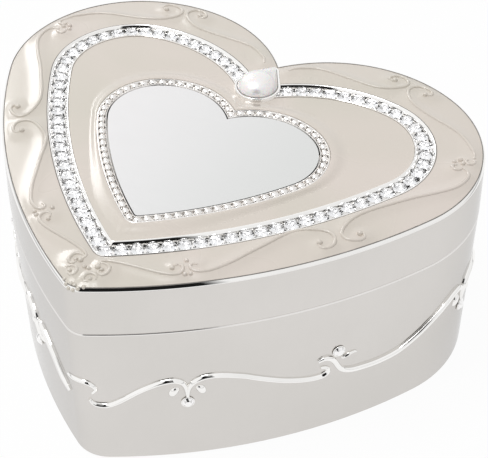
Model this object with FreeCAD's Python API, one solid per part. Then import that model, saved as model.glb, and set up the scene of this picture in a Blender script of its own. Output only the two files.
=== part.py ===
import FreeCAD, Part
import math
import os
from FreeCAD import Rotation, Vector

# Heart-shaped wind-up music box: plated base and hinged lid, enamelled lid top with a row of set stones,
# a trinket well in front, and an eighteen-note movement under a clear window behind it.
# Millimetres. X runs across the heart, Y from its tip to its cleft, Z up. The tip points to -Y.

# Outer heart
box_width = 110.2
box_length = 93.8
lobe_radius = 28.5
side_radius = 120.0
cleft_depth = 11.2
crown_join_angle = 62.0
tip_radius = 5.0
bottom_tip_radius = 8.0
least_tip_radius = 0.8

# Base and lid walls
base_height = 38.0
base_taper = 1.2
foot_chamfer = 0.5
wall = 2.4
lip_width = 1.0
lip_height = 1.8
lip_clearance = 0.25
lid_height = 12.2
lid_edge_chamfer = 0.75
seam_chamfer = 0.18
lid_plate_drop = 1.2
lid_plate_thickness = 1.4
lining_thickness = 1.0
lining_gap = 0.6

# Enamel and rim on the lid top
rim_width = 0.9
rim_to_enamel_step = 0.05
border_rise = 0.5
field_rise = 0.35

# Channel heart, measured along the middle of its groove
channel_width = 85.8
channel_length = 68.4
channel_centre_y = -0.6
channel_lobe_radius = 16.0
channel_side_radius = 119.0
channel_cleft_depth = 10.6
channel_join_angle = 80.0
channel_wall = 0.7
channel_floor = 0.5
channel_rim_rise = 0.1

# Stones
crystal_radius = 1.45
crystal_spacing = 0.23
crystal_side_gap = 0.15
crystal_cup_gap = 0.1
crystal_row_step = 0.05
crystal_table_radius = 0.8
crystal_culet_radius = 0.15
crystal_pavilion_height = 0.8
crystal_crown_height = 0.45
crystal_sides = 8
side_crystal_radius = 1.25
side_crystal_table_radius = 0.7
side_crystal_height = 0.9
side_crystal_stand_off = 0.05
first_garland_joint = 21.4
garland_step = 32.4
garland_joints = 5
low_joint_crystal_height = 15.8
high_joint_crystal_height = 21.9

# Name plate heart and its beaded frame
plate_width = 48.8
plate_length = 41.7
plate_centre_y = -3.0
plate_lobe_radius = 11.1
plate_side_radius = 87.0
plate_cleft_depth = 5.0
plate_join_angle = 59.5
plate_thickness = 0.8
plate_clearance = 0.25
plate_bed_rise = 1.1
bead_frame_width = 2.2
bead_frame_rise = 2.1

# Pearl and cup
pearl_radius = 4.3
pearl_tip_radius = 0.8
pearl_length = 13.0
pearl_cut_above_axis = 0.9
pearl_from_cleft = 1.3
cup_gap = 0.15
cup_wall = 0.6
cup_floor = 0.8
cup_height = 2.5

# Hinge
knuckle_radius = 1.9
hinge_gap = 0.3
hinge_pin_radius = 0.75
hinge_pin_clearance = 0.05
base_knuckle_length = 6.0
lid_knuckle_length = 3.0
knuckle_side_gap = 0.15
pin_head_radius = 1.3
pin_head_thickness = 0.5
leaf_gap = 0.3

# Bottom plate, its screws and the ledge that it is drawn against
recess_height = 12.0
bottom_plate_thickness = 1.2
bottom_plate_clearance = 0.2
ledge_width = 1.2
ledge_height = 2.2
boss_radius = 2.8
boss_height = 8.0
boss_centre_depth = 4.2
boss_crown_angle = 95.0
boss_lobe_angle = -12.0
screw_radius = 1.0
screw_clearance = 0.15
arbor_hole_clearance = 0.6
screw_head_radius = 2.0
screw_head_height = 1.1
screw_slot_width = 0.5
screw_slot_depth = 0.5
screw_bite = 5.0

# Trinket tray and movement window
tray_wall = 1.2
tray_floor = 1.2
tray_gap = 0.3
tray_top_below_seam = 0.6
partition_gap = 1.0
window_rib_width = 1.0
window_rib_height = 1.5
window_thickness = 1.5
window_below_seam = 0.6
window_gap = 0.3

# Movement, placed from the middle of its own bedplate
movement_x = -4.0
movement_rear_gap = 0.5
bed_left = -27.5
bed_right = 25.0
bed_front = -19.0
bed_rear = 15.0
bed_tab_right = -17.0
bed_tab_rear = 23.0
bed_thickness = 2.2
bed_screw_radius = 0.9
bed_screw_edge = 3.5
foot_thickness = 1.2
foot_margin = 2.2

# Wheel train
crown_teeth = 40
cylinder_teeth = 20
crown_module = 0.5
great_teeth = 36
pinion_teeth = 12
worm_wheel_teeth = 18
train_module = 0.4
pressure_angle = 20.0
tooth_addendum = 0.8
tooth_dedendum = 1.1
tooth_thinning = 0.80

# Spring housing, drive wheel, arbor and key
housing_x = 12.0
train_y = 3.0
housing_radius = 11.5
housing_wall = 0.8
housing_height = 4.8
cover_thickness = 0.7
drive_gap = 0.2
drive_plate_thickness = 1.2
drive_rim = 0.2
arbor_radius = 1.6
running_clearance = 0.05
spring_hub_radius = 2.2
spring_gap = 0.25
spring_band = 0.35
spring_turn_pitch = 1.3
spring_half_turns = 12
ratchet_teeth = 12
ratchet_radius = 4.5
ratchet_root_radius = 3.7
ratchet_thickness = 1.0
click_clearance = 0.15
bridge_over_ratchet = 0.6
click_stud_distance = 7.2
click_stud_radius = 0.5
click_width = 1.6
click_thickness = 0.8
click_angle = 60.0
click_span_angle = 45.0
key_bottom = 1.2
key_height = 8.6
key_socket_floor = 2.15
key_hub_lift = 1.075
key_hub_radius = 3.0
key_wing_reach = 12.5
key_wing_thickness = 2.0
key_wing_corner = 3.2
key_wing_hole_radius = 1.6
key_below_plate = 1.0
arbor_top_stand = 0.7

# Cylinder and comb
note_count = 18
note_pitch = 0.93
drum_radius = 6.2
drum_length = 17.0
drum_right_end = -0.5
pin_height = 0.5
pin_radius = 0.2
pins_per_note = 5
pin_scatter_step = 47
pin_scatter_span = 60
cylinder_arbor_radius = 0.8
cylinder_arbor_left = -22.8
gear_width = 2.0
great_wheel_x = -20.4
great_wheel_width = 1.2
post_left = -22.2
post_width = 1.6
post_half_depth = 2.0
bridge_left = 4.2
bridge_thickness = 1.5
bridge_leg_rear = 12.2
bridge_leg_front = 14.4
comb_gap = 0.15
comb_thickness = 1.2
comb_tooth_width = 0.62
comb_tooth_length = 8.6
comb_back = -18.5
comb_left = -20.5
comb_right = 2.5
comb_screw_inset = 4.0

# Governor
governor_angle = -30.0
governor_arbor_radius = 0.6
pinion_width = 1.6
worm_wheel_x = -22.0
worm_wheel_width = 1.4
worm_pitch_radius = 1.4
worm_tip_radius = 1.72
worm_root_radius = 0.98
worm_thread_half = 0.21
worm_turns = 5
spindle_radius = 0.5
spindle_pivot_depth = 1.2
fly_radius = 3.2
fly_hub_radius = 1.2
fly_height = 3.4
fly_vane = 0.5
fly_bottom_above_worm = 1.0
bracket_left = -26.8
bracket_thickness = 1.0
bracket_top_clearance = 1.0
bracket_front = 8.8
bracket_rear = 18.6
bracket_arm_right = -19.6
ear_left = -18.4
ear_half_depth = 1.3
bracket_arm_reach = 2.6
ear_above_arbor = 1.3

# Stop lever that the lid lining holds down
lever_gap_to_fly = 0.25
pad_thickness = 0.4
lever_thickness = 0.8
lever_width = 3.0
finger_width = 1.2
finger_below_lining = 0.2
lever_pin_radius = 0.7
lever_pin_height = 2.6
lever_eye_radius = 1.5
lever_ear_width = 1.4
lever_ear_gap = 0.2
finger_slot_gap = 0.7
lever_swing = 7.0

# Allowances for making solids: a cut runs past a face by overrun, and joined solids sink by weld
overrun = 1.0
weld = 0.1

# Sizes and heights that follow from the values above
least_crystal_pitch = 2 * crystal_radius + crystal_spacing
groove_half_width = crystal_radius + crystal_side_gap
seam_z = base_height
lid_edge_z = seam_z + lid_height
lid_plate_top = lid_edge_z - lid_plate_drop
lid_plate_bottom = lid_plate_top - lid_plate_thickness
lining_bottom = lid_plate_bottom - lining_thickness
border_top = lid_edge_z + border_rise
field_top = border_top + field_rise
bottom_plate_top = recess_height + bottom_plate_thickness
ledge_top = bottom_plate_top + ledge_height
window_top = seam_z - window_below_seam
window_bottom = window_top - window_thickness
bed_top = bottom_plate_top + bed_thickness
housing_top = bed_top + housing_height
cover_top = housing_top + cover_thickness
drive_bottom = cover_top + drive_gap
drive_top = drive_bottom + drive_plate_thickness


def unit(degrees):
    angle = math.radians(degrees)
    return Vector(math.cos(angle), math.sin(angle), 0)


def direction(vector):
    return math.degrees(math.atan2(vector.y, vector.x))


def lifted(vector, z):
    return Vector(vector.x, vector.y, z)


def box(x0, x1, y0, y1, z0, z1):
    return Part.makeBox(x1 - x0, y1 - y0, z1 - z0, Vector(x0, y0, z0))


def post(radius, x, y, z0, z1):
    return Part.makeCylinder(radius, z1 - z0, Vector(x, y, z0))


def rod(radius, x0, x1, y, z):
    return Part.makeCylinder(radius, x1 - x0, Vector(x0, y, z), Vector(1, 0, 0))


def mirrored(shape):
    return shape.mirror(Vector(0, 0, 0), Vector(1, 0, 0))


def fused(shapes):
    return shapes[0].fuse(shapes[1:]).removeSplitter()


class Heart:
    """A heart of tangent arcs, alike on both sides: a tip, two sides, two lobes and two crowns."""

    def __init__(self, width, length, lobe, side, cleft, join_angle, tip, centre_y=0.0):
        join = unit(join_angle)
        reach = width / 2 - lobe + lobe * join.x
        inside = (cleft * join.y) ** 2 + 2 * cleft * reach * join.x
        crown = (cleft + reach * join.x - math.sqrt(inside)) / join.x ** 2
        self.top = centre_y + length / 2
        self.join_angle = join_angle
        self.lobe = lobe
        self.side = side
        self.crown = crown
        self.tip = tip
        self.lobe_centre = Vector(width / 2 - lobe, self.top - crown * (1 - join.y) - lobe * join.y, 0)
        self.crown_centre = self.lobe_centre + join * (lobe - crown)
        tip_centre = Vector(0, centre_y - length / 2 + tip, 0)
        across = self.lobe_centre - tip_centre
        span = across.Length
        along = ((side - tip) ** 2 - (side - lobe) ** 2 + span ** 2) / (2 * span)
        off = math.sqrt((side - tip) ** 2 - along ** 2)
        across.normalize()
        self.side_centre = tip_centre + across * along + Vector(-across.y, across.x, 0) * off

    def arcs(self, inset=0.0, tip=None):
        """Right-hand arcs from the tip to the cleft, each a centre, a radius and two directions."""
        if tip is None:
            tip = max(self.tip - inset, least_tip_radius)
        side = self.side - inset
        crown = self.crown - inset
        drop = math.sqrt((side - tip) ** 2 - self.side_centre.x ** 2)
        tip_centre = Vector(0, self.side_centre.y - drop, 0)
        tip_end = direction(tip_centre - self.side_centre)
        side_end = direction(self.lobe_centre - self.side_centre)
        cleft_end = math.degrees(math.acos(-self.crown_centre.x / crown))
        return [
            (tip_centre, tip, -90.0, tip_end),
            (self.side_centre, side, tip_end, side_end),
            (self.lobe_centre, self.lobe - inset, side_end, self.join_angle),
            (self.crown_centre, crown, self.join_angle, cleft_end),
        ]

    def wire(self, inset, z, tip=None):
        right = []
        left = []
        for centre, radius, start, end in self.arcs(inset, tip):
            points = [centre + unit(a) * radius for a in (start, (start + end) / 2, end)]
            points = [lifted(p, z) for p in points]
            right.append(points)
            left.append([Vector(-p.x, p.y, p.z) for p in reversed(points)])
        left.reverse()
        tip_points = [left[-1][0], right[0][0], right[0][2]]
        runs = [tip_points] + right[1:] + left[:-1]
        return Part.Wire([Part.Arc(*points).toShape() for points in runs])

    def prism(self, inset, z0, z1):
        return Part.Face(self.wire(inset, z0)).extrude(Vector(0, 0, z1 - z0))

    def cleft_y(self, inset):
        centre, radius, start, end = self.arcs(inset)[-1]
        return (centre + unit(end) * radius).y

    def along(self, distance, inset=0.0, tip=None):
        """Point and outward direction at a length along the right-hand outline, from the tip."""
        left_over = distance
        for centre, radius, start, end in self.arcs(inset, tip):
            length = radius * math.radians(end - start)
            if left_over <= length:
                angle = start + math.degrees(left_over / radius)
                return centre + unit(angle) * radius, angle
            left_over -= length
        return None, None


def loft(wires):
    return Part.makeLoft(wires, True, True)


outer = Heart(box_width, box_length, lobe_radius, side_radius, cleft_depth, crown_join_angle, tip_radius)
channel = Heart(channel_width, channel_length, channel_lobe_radius, channel_side_radius,
                channel_cleft_depth, channel_join_angle, least_tip_radius, channel_centre_y)
plate = Heart(plate_width, plate_length, plate_lobe_radius, plate_side_radius, plate_cleft_depth,
              plate_join_angle, least_tip_radius, plate_centre_y)

# Places on the tapered base wall


def wall_inset(z):
    return base_taper * (1 - z / base_height)


def wall_tip(z):
    return bottom_tip_radius + (tip_radius - bottom_tip_radius) * z / base_height


def wall_wire(depth, z):
    return outer.wire(wall_inset(z) + depth, z, max(wall_tip(z) - depth, least_tip_radius))


def wall_solid(depth, z0, z1):
    return loft([wall_wire(depth, z0), wall_wire(depth, z1)])


# Places that the movement and the tray take from the heart
ledge_cleft = outer.cleft_y(wall_inset(bottom_plate_top) + wall + ledge_width)
movement_y = ledge_cleft - movement_rear_gap - bed_rear
partition_rear = movement_y + bed_front - partition_gap
hinge_x = outer.crown_centre.x
hinge_y = outer.top + knuckle_radius + hinge_gap
hinge_z = seam_z
frame_shift = (hinge_y + knuckle_radius - box_length / 2) / 2
far = box_width + box_length

nodes = {}


# Base shell
boss_places = []
for arc_centre, arc_radius, boss_angle in (
        (outer.crown_centre, outer.crown, boss_crown_angle),
        (outer.lobe_centre, outer.lobe, boss_lobe_angle)):
    inset = wall_inset(bottom_plate_top) + boss_centre_depth + wall / 2
    place = arc_centre + unit(boss_angle) * (arc_radius - inset)
    boss_places.append(place)
    boss_places.append(Vector(-place.x, place.y, 0))

base_outside = fused([
    loft([wall_wire(foot_chamfer, 0), wall_wire(0, foot_chamfer)]),
    wall_solid(0, foot_chamfer, seam_z - seam_chamfer),
    loft([wall_wire(0, seam_z - seam_chamfer), wall_wire(seam_chamfer, seam_z)]),
])
base_hollow = [
    loft([wall_wire(wall, -overrun), wall_wire(wall, bottom_plate_top)]),
    wall_solid(wall + ledge_width, bottom_plate_top - overrun, ledge_top + overrun),
    loft([wall_wire(wall, ledge_top), wall_wire(wall, seam_z)]),
]
base_lip = outer.prism(wall - lip_width, seam_z - lip_height, seam_z + lip_height).cut(
    outer.prism(wall, seam_z - 2 * lip_height, seam_z + 2 * lip_height))
window_rib = wall_solid(wall / 2, window_bottom - window_rib_height, window_bottom).cut(
    wall_solid(wall + window_rib_width, window_bottom - 2 * window_rib_height, window_bottom + overrun))
window_rib = window_rib.cut(box(-far, far, -far, partition_rear, 0, seam_z))
bosses = []
boss_holes = []
for place in boss_places:
    bosses.append(post(boss_radius, place.x, place.y, bottom_plate_top, bottom_plate_top + boss_height))
    boss_holes.append(post(screw_radius, place.x, place.y, 0, bottom_plate_top + screw_bite))
base_shell = base_outside.cut(base_hollow).fuse([base_lip, window_rib] + bosses).cut(boss_holes)
nodes["base_shell"] = base_shell.removeSplitter()


# Bottom plate, drawn up against the ledge by four screws
housing_place = Vector(movement_x + housing_x, movement_y + train_y, 0)
bed_screw_places = [
    Vector(movement_x + bed_left + bed_screw_edge, movement_y + bed_front + bed_screw_edge, 0),
    Vector(movement_x + bed_right - bed_screw_edge, movement_y + bed_front + bed_screw_edge, 0),
    Vector(movement_x + bed_tab_right - bed_screw_edge, movement_y + bed_rear - bed_screw_edge / 2, 0),
]
arbor_hole_radius = arbor_radius + arbor_hole_clearance
plate_blank = wall_wire(wall + bottom_plate_clearance, recess_height)
bottom_plate = Part.Face(plate_blank).extrude(Vector(0, 0, bottom_plate_thickness))
bottom_holes = [post(arbor_hole_radius, housing_place.x, housing_place.y, 0, seam_z)]
for place in boss_places:
    bottom_holes.append(post(screw_radius + screw_clearance, place.x, place.y, 0, seam_z))
for place in bed_screw_places:
    bottom_holes.append(post(bed_screw_radius + screw_clearance, place.x, place.y, 0, seam_z))
nodes["bottom_plate"] = bottom_plate.cut(bottom_holes)


def screw(place, radius, head_z, tip_z):
    """Slotted pan-head screw, with its head at head_z and its shank pointing to tip_z."""
    toward = 1 if tip_z > head_z else -1
    axis = Vector(0, 0, toward)
    head_low = lifted(place, head_z - toward * screw_head_height)
    head = Part.makeCylinder(screw_head_radius, screw_head_height, head_low, axis)
    shank = Part.makeCylinder(radius, abs(tip_z - head_z), lifted(place, head_z), axis)
    slot_z = head_low.z + toward * screw_slot_depth / 2
    slot = box(place.x - far, place.x + far, place.y - screw_slot_width / 2, place.y + screw_slot_width / 2,
               slot_z - screw_slot_depth / 2, slot_z + screw_slot_depth / 2)
    return head.fuse(shank).removeSplitter().cut(slot)


nodes["bottom_plate_screws"] = Part.Compound(
    [screw(p, screw_radius, recess_height, bottom_plate_top + screw_bite) for p in boss_places])
nodes["movement_screws"] = Part.Compound(
    [screw(p, bed_screw_radius, recess_height, bed_top) for p in bed_screw_places])


# Flocked tray in the tip of the heart, standing on the ledge
tray_top = seam_z - tray_top_below_seam
tray_hull = wall_solid(wall + tray_gap, ledge_top, tray_top)
tray_hull = tray_hull.common(box(-far, far, -far, partition_rear, 0, far))
tray_well = loft([
    wall_wire(wall + tray_gap + tray_wall, ledge_top + tray_floor),
    wall_wire(wall + tray_gap + tray_wall, tray_top + tray_floor),
])
tray_well = tray_well.common(box(-far, far, -far, partition_rear - tray_wall, 0, far))
window_seat = box(-far, far, partition_rear - tray_wall, far, window_bottom, far)
nodes["flocked_tray"] = tray_hull.cut([tray_well, window_seat])


# Movement helpers, in the bedplate's own places
def at_x(value):
    return movement_x + value


def at_y(value):
    return movement_y + value


def gear_face(teeth, module, phase, bore):
    """Involute wheel in the XY plane with one tooth centred on the phase direction, in degrees."""
    pitch_radius = teeth * module / 2
    base_radius = pitch_radius * math.cos(math.radians(pressure_angle))
    radii = [pitch_radius - tooth_dedendum * module, pitch_radius, pitch_radius + tooth_addendum * module]

    def involute(radius):
        angle = math.acos(min(base_radius / radius, 1.0))
        return math.tan(angle) - angle

    half_tooth = math.pi / (2 * teeth) * tooth_thinning
    halves = [math.degrees(half_tooth + involute(pitch_radius) - involute(r)) for r in radii]
    points = []
    for tooth in range(teeth):
        middle = phase + tooth * 360.0 / teeth
        for radius, half in zip(radii, halves):
            points.append(unit(middle - half) * radius)
        for radius, half in zip(reversed(radii), reversed(halves)):
            points.append(unit(middle + half) * radius)
    rim = Part.Wire(Part.makePolygon(points + points[:1]).Edges)
    hole = Part.Wire([Part.makeCircle(bore)])
    return Part.Face(rim).cut(Part.Face(hole))


def gear_on_x(teeth, module, phase, bore, x, width, y, z):
    """The same wheel on an axle along X: the phase runs from +Y towards +Z."""
    wheel = gear_face(teeth, module, phase, bore).extrude(Vector(0, 0, width))
    wheel.Placement = FreeCAD.Placement(Vector(x, y, z), Rotation(Vector(1, 1, 1), 120))
    return wheel


crown_radius = crown_teeth * crown_module / 2
cylinder_gear_radius = cylinder_teeth * crown_module / 2
crown_pitch_z = drive_top + tooth_dedendum * crown_module
axis_z = crown_pitch_z + cylinder_gear_radius
axis_y = at_y(train_y)
crown_place = Vector(at_x(housing_x), axis_y, 0)
gear_x = at_x(housing_x - crown_radius) - gear_width / 2

governor_distance = (great_teeth + pinion_teeth) * train_module / 2
governor_y = axis_y + governor_distance * math.cos(math.radians(governor_angle))
governor_z = axis_z + governor_distance * math.sin(math.radians(governor_angle))
worm_wheel_radius = worm_wheel_teeth * train_module / 2
worm_x = at_x(worm_wheel_x)
worm_y = governor_y + worm_wheel_radius + worm_pitch_radius
worm_lead = math.pi * train_module
worm_length = worm_turns * worm_lead
worm_top = governor_z + worm_length / 2
fly_bottom = worm_top + fly_bottom_above_worm
fly_top = fly_bottom + fly_height
bracket_top_low = fly_top + bracket_top_clearance
bracket_top_high = bracket_top_low + bracket_thickness
lever_front = worm_y + fly_radius + lever_gap_to_fly + pad_thickness
lever_middle = lever_front + lever_thickness / 2
lever_pin_z = bed_top + lever_pin_height


# Bedplate with its cast posts
bed = fused([
    box(at_x(bed_left), at_x(bed_right), at_y(bed_front), at_y(bed_rear), bottom_plate_top, bed_top),
    box(at_x(bed_left), at_x(bed_tab_right), at_y(bed_front), at_y(bed_tab_rear), bottom_plate_top, bed_top),
])
comb_bed_top = axis_z - comb_thickness / 2
comb_root = axis_y - drum_radius - pin_height - comb_gap - comb_tooth_length
lever_ear_inner = lever_width / 2 + lever_ear_gap
bed_parts = [
    box(at_x(comb_left), at_x(comb_right), at_y(comb_back), comb_root, bed_top, comb_bed_top),
    box(at_x(post_left), at_x(post_left + post_width), axis_y - post_half_depth, axis_y + post_half_depth,
        bed_top, axis_z + post_half_depth),
    box(at_x(ear_left), at_x(ear_left) + bracket_thickness, governor_y - ear_half_depth,
        governor_y + ear_half_depth, bed_top, governor_z + ear_above_arbor),
]
for side in (-1, 1):
    ear_low = worm_x + side * (lever_ear_inner + lever_ear_width / 2) - lever_ear_width / 2
    bed_parts.append(box(ear_low, ear_low + lever_ear_width, lever_middle - lever_eye_radius,
                         lever_middle + lever_eye_radius, bed_top, lever_pin_z + lever_eye_radius))
bed_holes = [
    post(arbor_radius + running_clearance, crown_place.x, crown_place.y, 0, seam_z),
    rod(cylinder_arbor_radius + running_clearance, at_x(post_left) - overrun,
        at_x(post_left + post_width) + overrun, axis_y, axis_z),
    rod(governor_arbor_radius + running_clearance, at_x(ear_left) - overrun,
        at_x(ear_left) + bracket_thickness + overrun, governor_y, governor_z),
    rod(lever_pin_radius + running_clearance, worm_x - 2 * lever_width, worm_x + 2 * lever_width,
        lever_middle, lever_pin_z),
    post(spindle_radius + running_clearance, worm_x, worm_y, bed_top - spindle_pivot_depth, seam_z),
]
for place in bed_screw_places:
    bed_holes.append(post(bed_screw_radius, place.x, place.y, 0, bed_top + overrun))
nodes["bedplate"] = fused([bed] + bed_parts).cut(bed_holes)


# Spring housing, its cover and the mainspring
housing_bore = housing_radius - housing_wall
nodes["spring_housing"] = post(housing_radius, crown_place.x, crown_place.y, bed_top, housing_top).cut(
    post(housing_bore, crown_place.x, crown_place.y, 0, seam_z))
nodes["spring_cover"] = post(housing_radius, crown_place.x, crown_place.y, housing_top, cover_top).cut(
    post(arbor_radius + 2 * screw_clearance, crown_place.x, crown_place.y, 0, seam_z))


def half_turns(radius):
    """Half circles of a spiral: every other one turns about a centre that is half a pitch across."""
    edges = []
    for turn in range(spring_half_turns):
        shift = spring_turn_pitch / 2 * (turn % 2)
        reach = radius + spring_turn_pitch / 2 * turn
        sign = 1 - 2 * (turn % 2)
        start = Vector(shift + sign * reach, 0, 0)
        middle = Vector(shift, sign * reach, 0)
        end = Vector(shift - sign * reach, 0, 0)
        edges.append(Part.Arc(start, middle, end).toShape())
    return edges


spring_start = spring_hub_radius + spring_gap
spring_inside = half_turns(spring_start)
spring_outside = half_turns(spring_start + spring_band)
spring_ends = [
    Part.makeLine(spring_inside[0].firstVertex().Point, spring_outside[0].firstVertex().Point),
    Part.makeLine(spring_inside[-1].lastVertex().Point, spring_outside[-1].lastVertex().Point),
]
spring_wire = Part.Wire(Part.__sortEdges__(spring_inside + spring_outside + spring_ends))
spring = Part.Face(spring_wire).extrude(Vector(0, 0, housing_height - 2 * spring_gap))
nodes["mainspring"] = spring.translated(lifted(crown_place, bed_top + spring_gap))


# Winding arbor, ratchet wheel and butterfly key
ratchet_bottom = drive_top + drive_gap
ratchet_top = ratchet_bottom + ratchet_thickness
key_top = key_bottom + key_height
arbor_bottom = key_bottom + key_socket_floor
nodes["winding_arbor"] = fused([
    post(arbor_radius, crown_place.x, crown_place.y, arbor_bottom, ratchet_top + arbor_top_stand),
    post(spring_hub_radius, crown_place.x, crown_place.y, bed_top + spring_gap, housing_top - spring_gap),
])
ratchet_points = []
for tooth in range(ratchet_teeth):
    tooth_angle = tooth * 360.0 / ratchet_teeth
    ratchet_points.append(unit(tooth_angle) * ratchet_root_radius)
    ratchet_points.append(unit(tooth_angle) * ratchet_radius)
ratchet_face = Part.Face(Part.makePolygon(ratchet_points + ratchet_points[:1]))
ratchet = ratchet_face.extrude(Vector(0, 0, ratchet_thickness)).translated(lifted(crown_place, ratchet_bottom))
nodes["ratchet_wheel"] = ratchet.cut(post(arbor_radius, crown_place.x, crown_place.y, 0, seam_z))
wing_half = key_wing_thickness / 2
wing = box(-key_wing_reach, key_wing_reach, -wing_half, wing_half, key_bottom, key_top)
wing = wing.makeFillet(key_wing_corner, [e for e in wing.Edges if e.BoundBox.YLength > wing_half])
wing_hole_x = (key_wing_reach + key_hub_radius) / 2
key = fused([wing, post(key_hub_radius, 0, 0, key_bottom + key_hub_lift, recess_height - key_below_plate)])
key_cuts = [post(arbor_radius, 0, 0, arbor_bottom, seam_z)]
for side in (-1, 1):
    wing_hole = Vector(side * wing_hole_x, -key_wing_thickness, (key_bottom + key_top) / 2)
    key_cuts.append(Part.makeCylinder(key_wing_hole_radius, 2 * key_wing_thickness, wing_hole, Vector(0, 1, 0)))
nodes["winding_key"] = key.cut(key_cuts).translated(crown_place)


# Drive wheel with crown teeth, and the click that rides on it
crown_inner = crown_radius - gear_width / 2
crown_outer = crown_radius + gear_width / 2
crown_tooth_half = math.pi * crown_module / 4 * tooth_thinning
flank = math.tan(math.radians(pressure_angle))
tooth_low = drive_top - weld
tooth_high = crown_pitch_z + tooth_addendum * crown_module
low_half = crown_tooth_half + (crown_pitch_z - tooth_low) * flank
high_half = crown_tooth_half - (tooth_high - crown_pitch_z) * flank
tooth_section = [
    Vector(crown_inner, -low_half, tooth_low), Vector(crown_inner, low_half, tooth_low),
    Vector(crown_inner, high_half, tooth_high), Vector(crown_inner, -high_half, tooth_high),
]
crown_tooth = Part.Face(Part.makePolygon(tooth_section + tooth_section[:1])).extrude(Vector(gear_width, 0, 0))
crown_parts = [post(crown_outer + drive_rim, 0, 0, drive_bottom, drive_top)]
for tooth in range(crown_teeth):
    turned = crown_tooth.copy()
    turned.rotate(Vector(0, 0, 0), Vector(0, 0, 1), 180 + tooth * 360.0 / crown_teeth)
    crown_parts.append(turned)
drive_wheel = fused(crown_parts).cut(post(arbor_radius + running_clearance, 0, 0, 0, seam_z))
click_stud = unit(click_angle) * click_stud_distance
drive_wheel = drive_wheel.cut(post(click_stud_radius, click_stud.x, click_stud.y, 0, seam_z))
nodes["drive_wheel"] = drive_wheel.translated(crown_place)
nose_reach = ratchet_radius + click_clearance
nose = unit(click_angle - click_span_angle) * nose_reach
nose_back = unit(click_angle - click_span_angle) * (nose_reach + click_width / 2)
heel = (click_stud - nose).normalize()
heel_side = Vector(-heel.y, heel.x, 0) * click_width / 2
click_points = [nose, nose_back, click_stud - heel_side, click_stud + heel_side]
click_plan = Part.Face(Part.makePolygon(click_points + click_points[:1])).extrude(Vector(0, 0, click_thickness))
click_eye = post(click_width / 2, click_stud.x, click_stud.y, 0, click_thickness)
click = fused([click_plan, click_eye]).translated(Vector(0, 0, ratchet_bottom))
click_hole = post(click_stud_radius + running_clearance, click_stud.x, click_stud.y, 0, seam_z)
nodes["click"] = click.cut(click_hole).translated(crown_place)
nodes["click_stud"] = post(click_stud_radius, crown_place.x + click_stud.x, crown_place.y + click_stud.y,
                           drive_bottom, ratchet_bottom + click_thickness + running_clearance)


# Pinned cylinder on its arbor, with the driven gear at one end and the great wheel at the other
drum_left = at_x(drum_right_end - drum_length)
drum_right = at_x(drum_right_end)
bridge_right = at_x(bridge_left + bridge_thickness)
nodes["cylinder_arbor"] = rod(cylinder_arbor_radius, at_x(cylinder_arbor_left), bridge_right, axis_y, axis_z)
arbor_room = rod(cylinder_arbor_radius, at_x(bed_left), at_x(bed_right), axis_y, axis_z)
nodes["cylinder_drum"] = rod(drum_radius, drum_left, drum_right, axis_y, axis_z).cut(arbor_room)
pins = []
first_note = (drum_left + drum_right) / 2 - note_pitch * (note_count - 1) / 2
for note in range(note_count):
    for index in range(pins_per_note):
        angle = index * 360.0 / pins_per_note + (note * pin_scatter_step) % pin_scatter_span
        away = Vector(0, unit(angle).x, unit(angle).y)
        foot = Vector(first_note + note * note_pitch, axis_y, axis_z) + away * drum_radius
        pins.append(Part.makeCylinder(pin_radius, pin_height, foot, away))
nodes["cylinder_pins"] = Part.Compound(pins)
nodes["cylinder_gear"] = gear_on_x(cylinder_teeth, crown_module, -90 + 180.0 / cylinder_teeth,
                                   cylinder_arbor_radius, gear_x, gear_width, axis_y, axis_z)
nodes["great_wheel"] = gear_on_x(great_teeth, train_module, governor_angle, cylinder_arbor_radius,
                                 at_x(great_wheel_x), great_wheel_width, axis_y, axis_z)


# Bridge that carries the arbor's right-hand end past the drive wheel
bridge_low = ratchet_top + bridge_over_ratchet
bridge_leg = box(at_x(bridge_left), bridge_right, axis_y - bridge_leg_front, axis_y - bridge_leg_rear,
                 bed_top, axis_z + post_half_depth)
bridge_beam = box(at_x(bridge_left), bridge_right, axis_y - bridge_leg_front, axis_y + post_half_depth,
                  bridge_low, axis_z + post_half_depth)
bridge_screw_place = Vector((at_x(bridge_left) + bridge_right) / 2, axis_y - bridge_leg_front - foot_margin, 0)
foot_top = bed_top + foot_thickness
bridge_foot = box(bridge_screw_place.x - foot_margin, bridge_screw_place.x + foot_margin,
                  bridge_screw_place.y - foot_margin, axis_y - bridge_leg_rear, bed_top, foot_top)
bridge_cuts = [
    rod(cylinder_arbor_radius + running_clearance, at_x(bridge_left) - overrun, bridge_right + overrun,
        axis_y, axis_z),
    post(bed_screw_radius + screw_clearance, bridge_screw_place.x, bridge_screw_place.y, 0, far),
]
nodes["cylinder_bridge"] = fused([bridge_leg, bridge_beam, bridge_foot]).cut(bridge_cuts)
foot_screw_tip = bed_top - bed_thickness
nodes["bridge_screw"] = screw(bridge_screw_place, bed_screw_radius, foot_top, foot_screw_tip)


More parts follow.
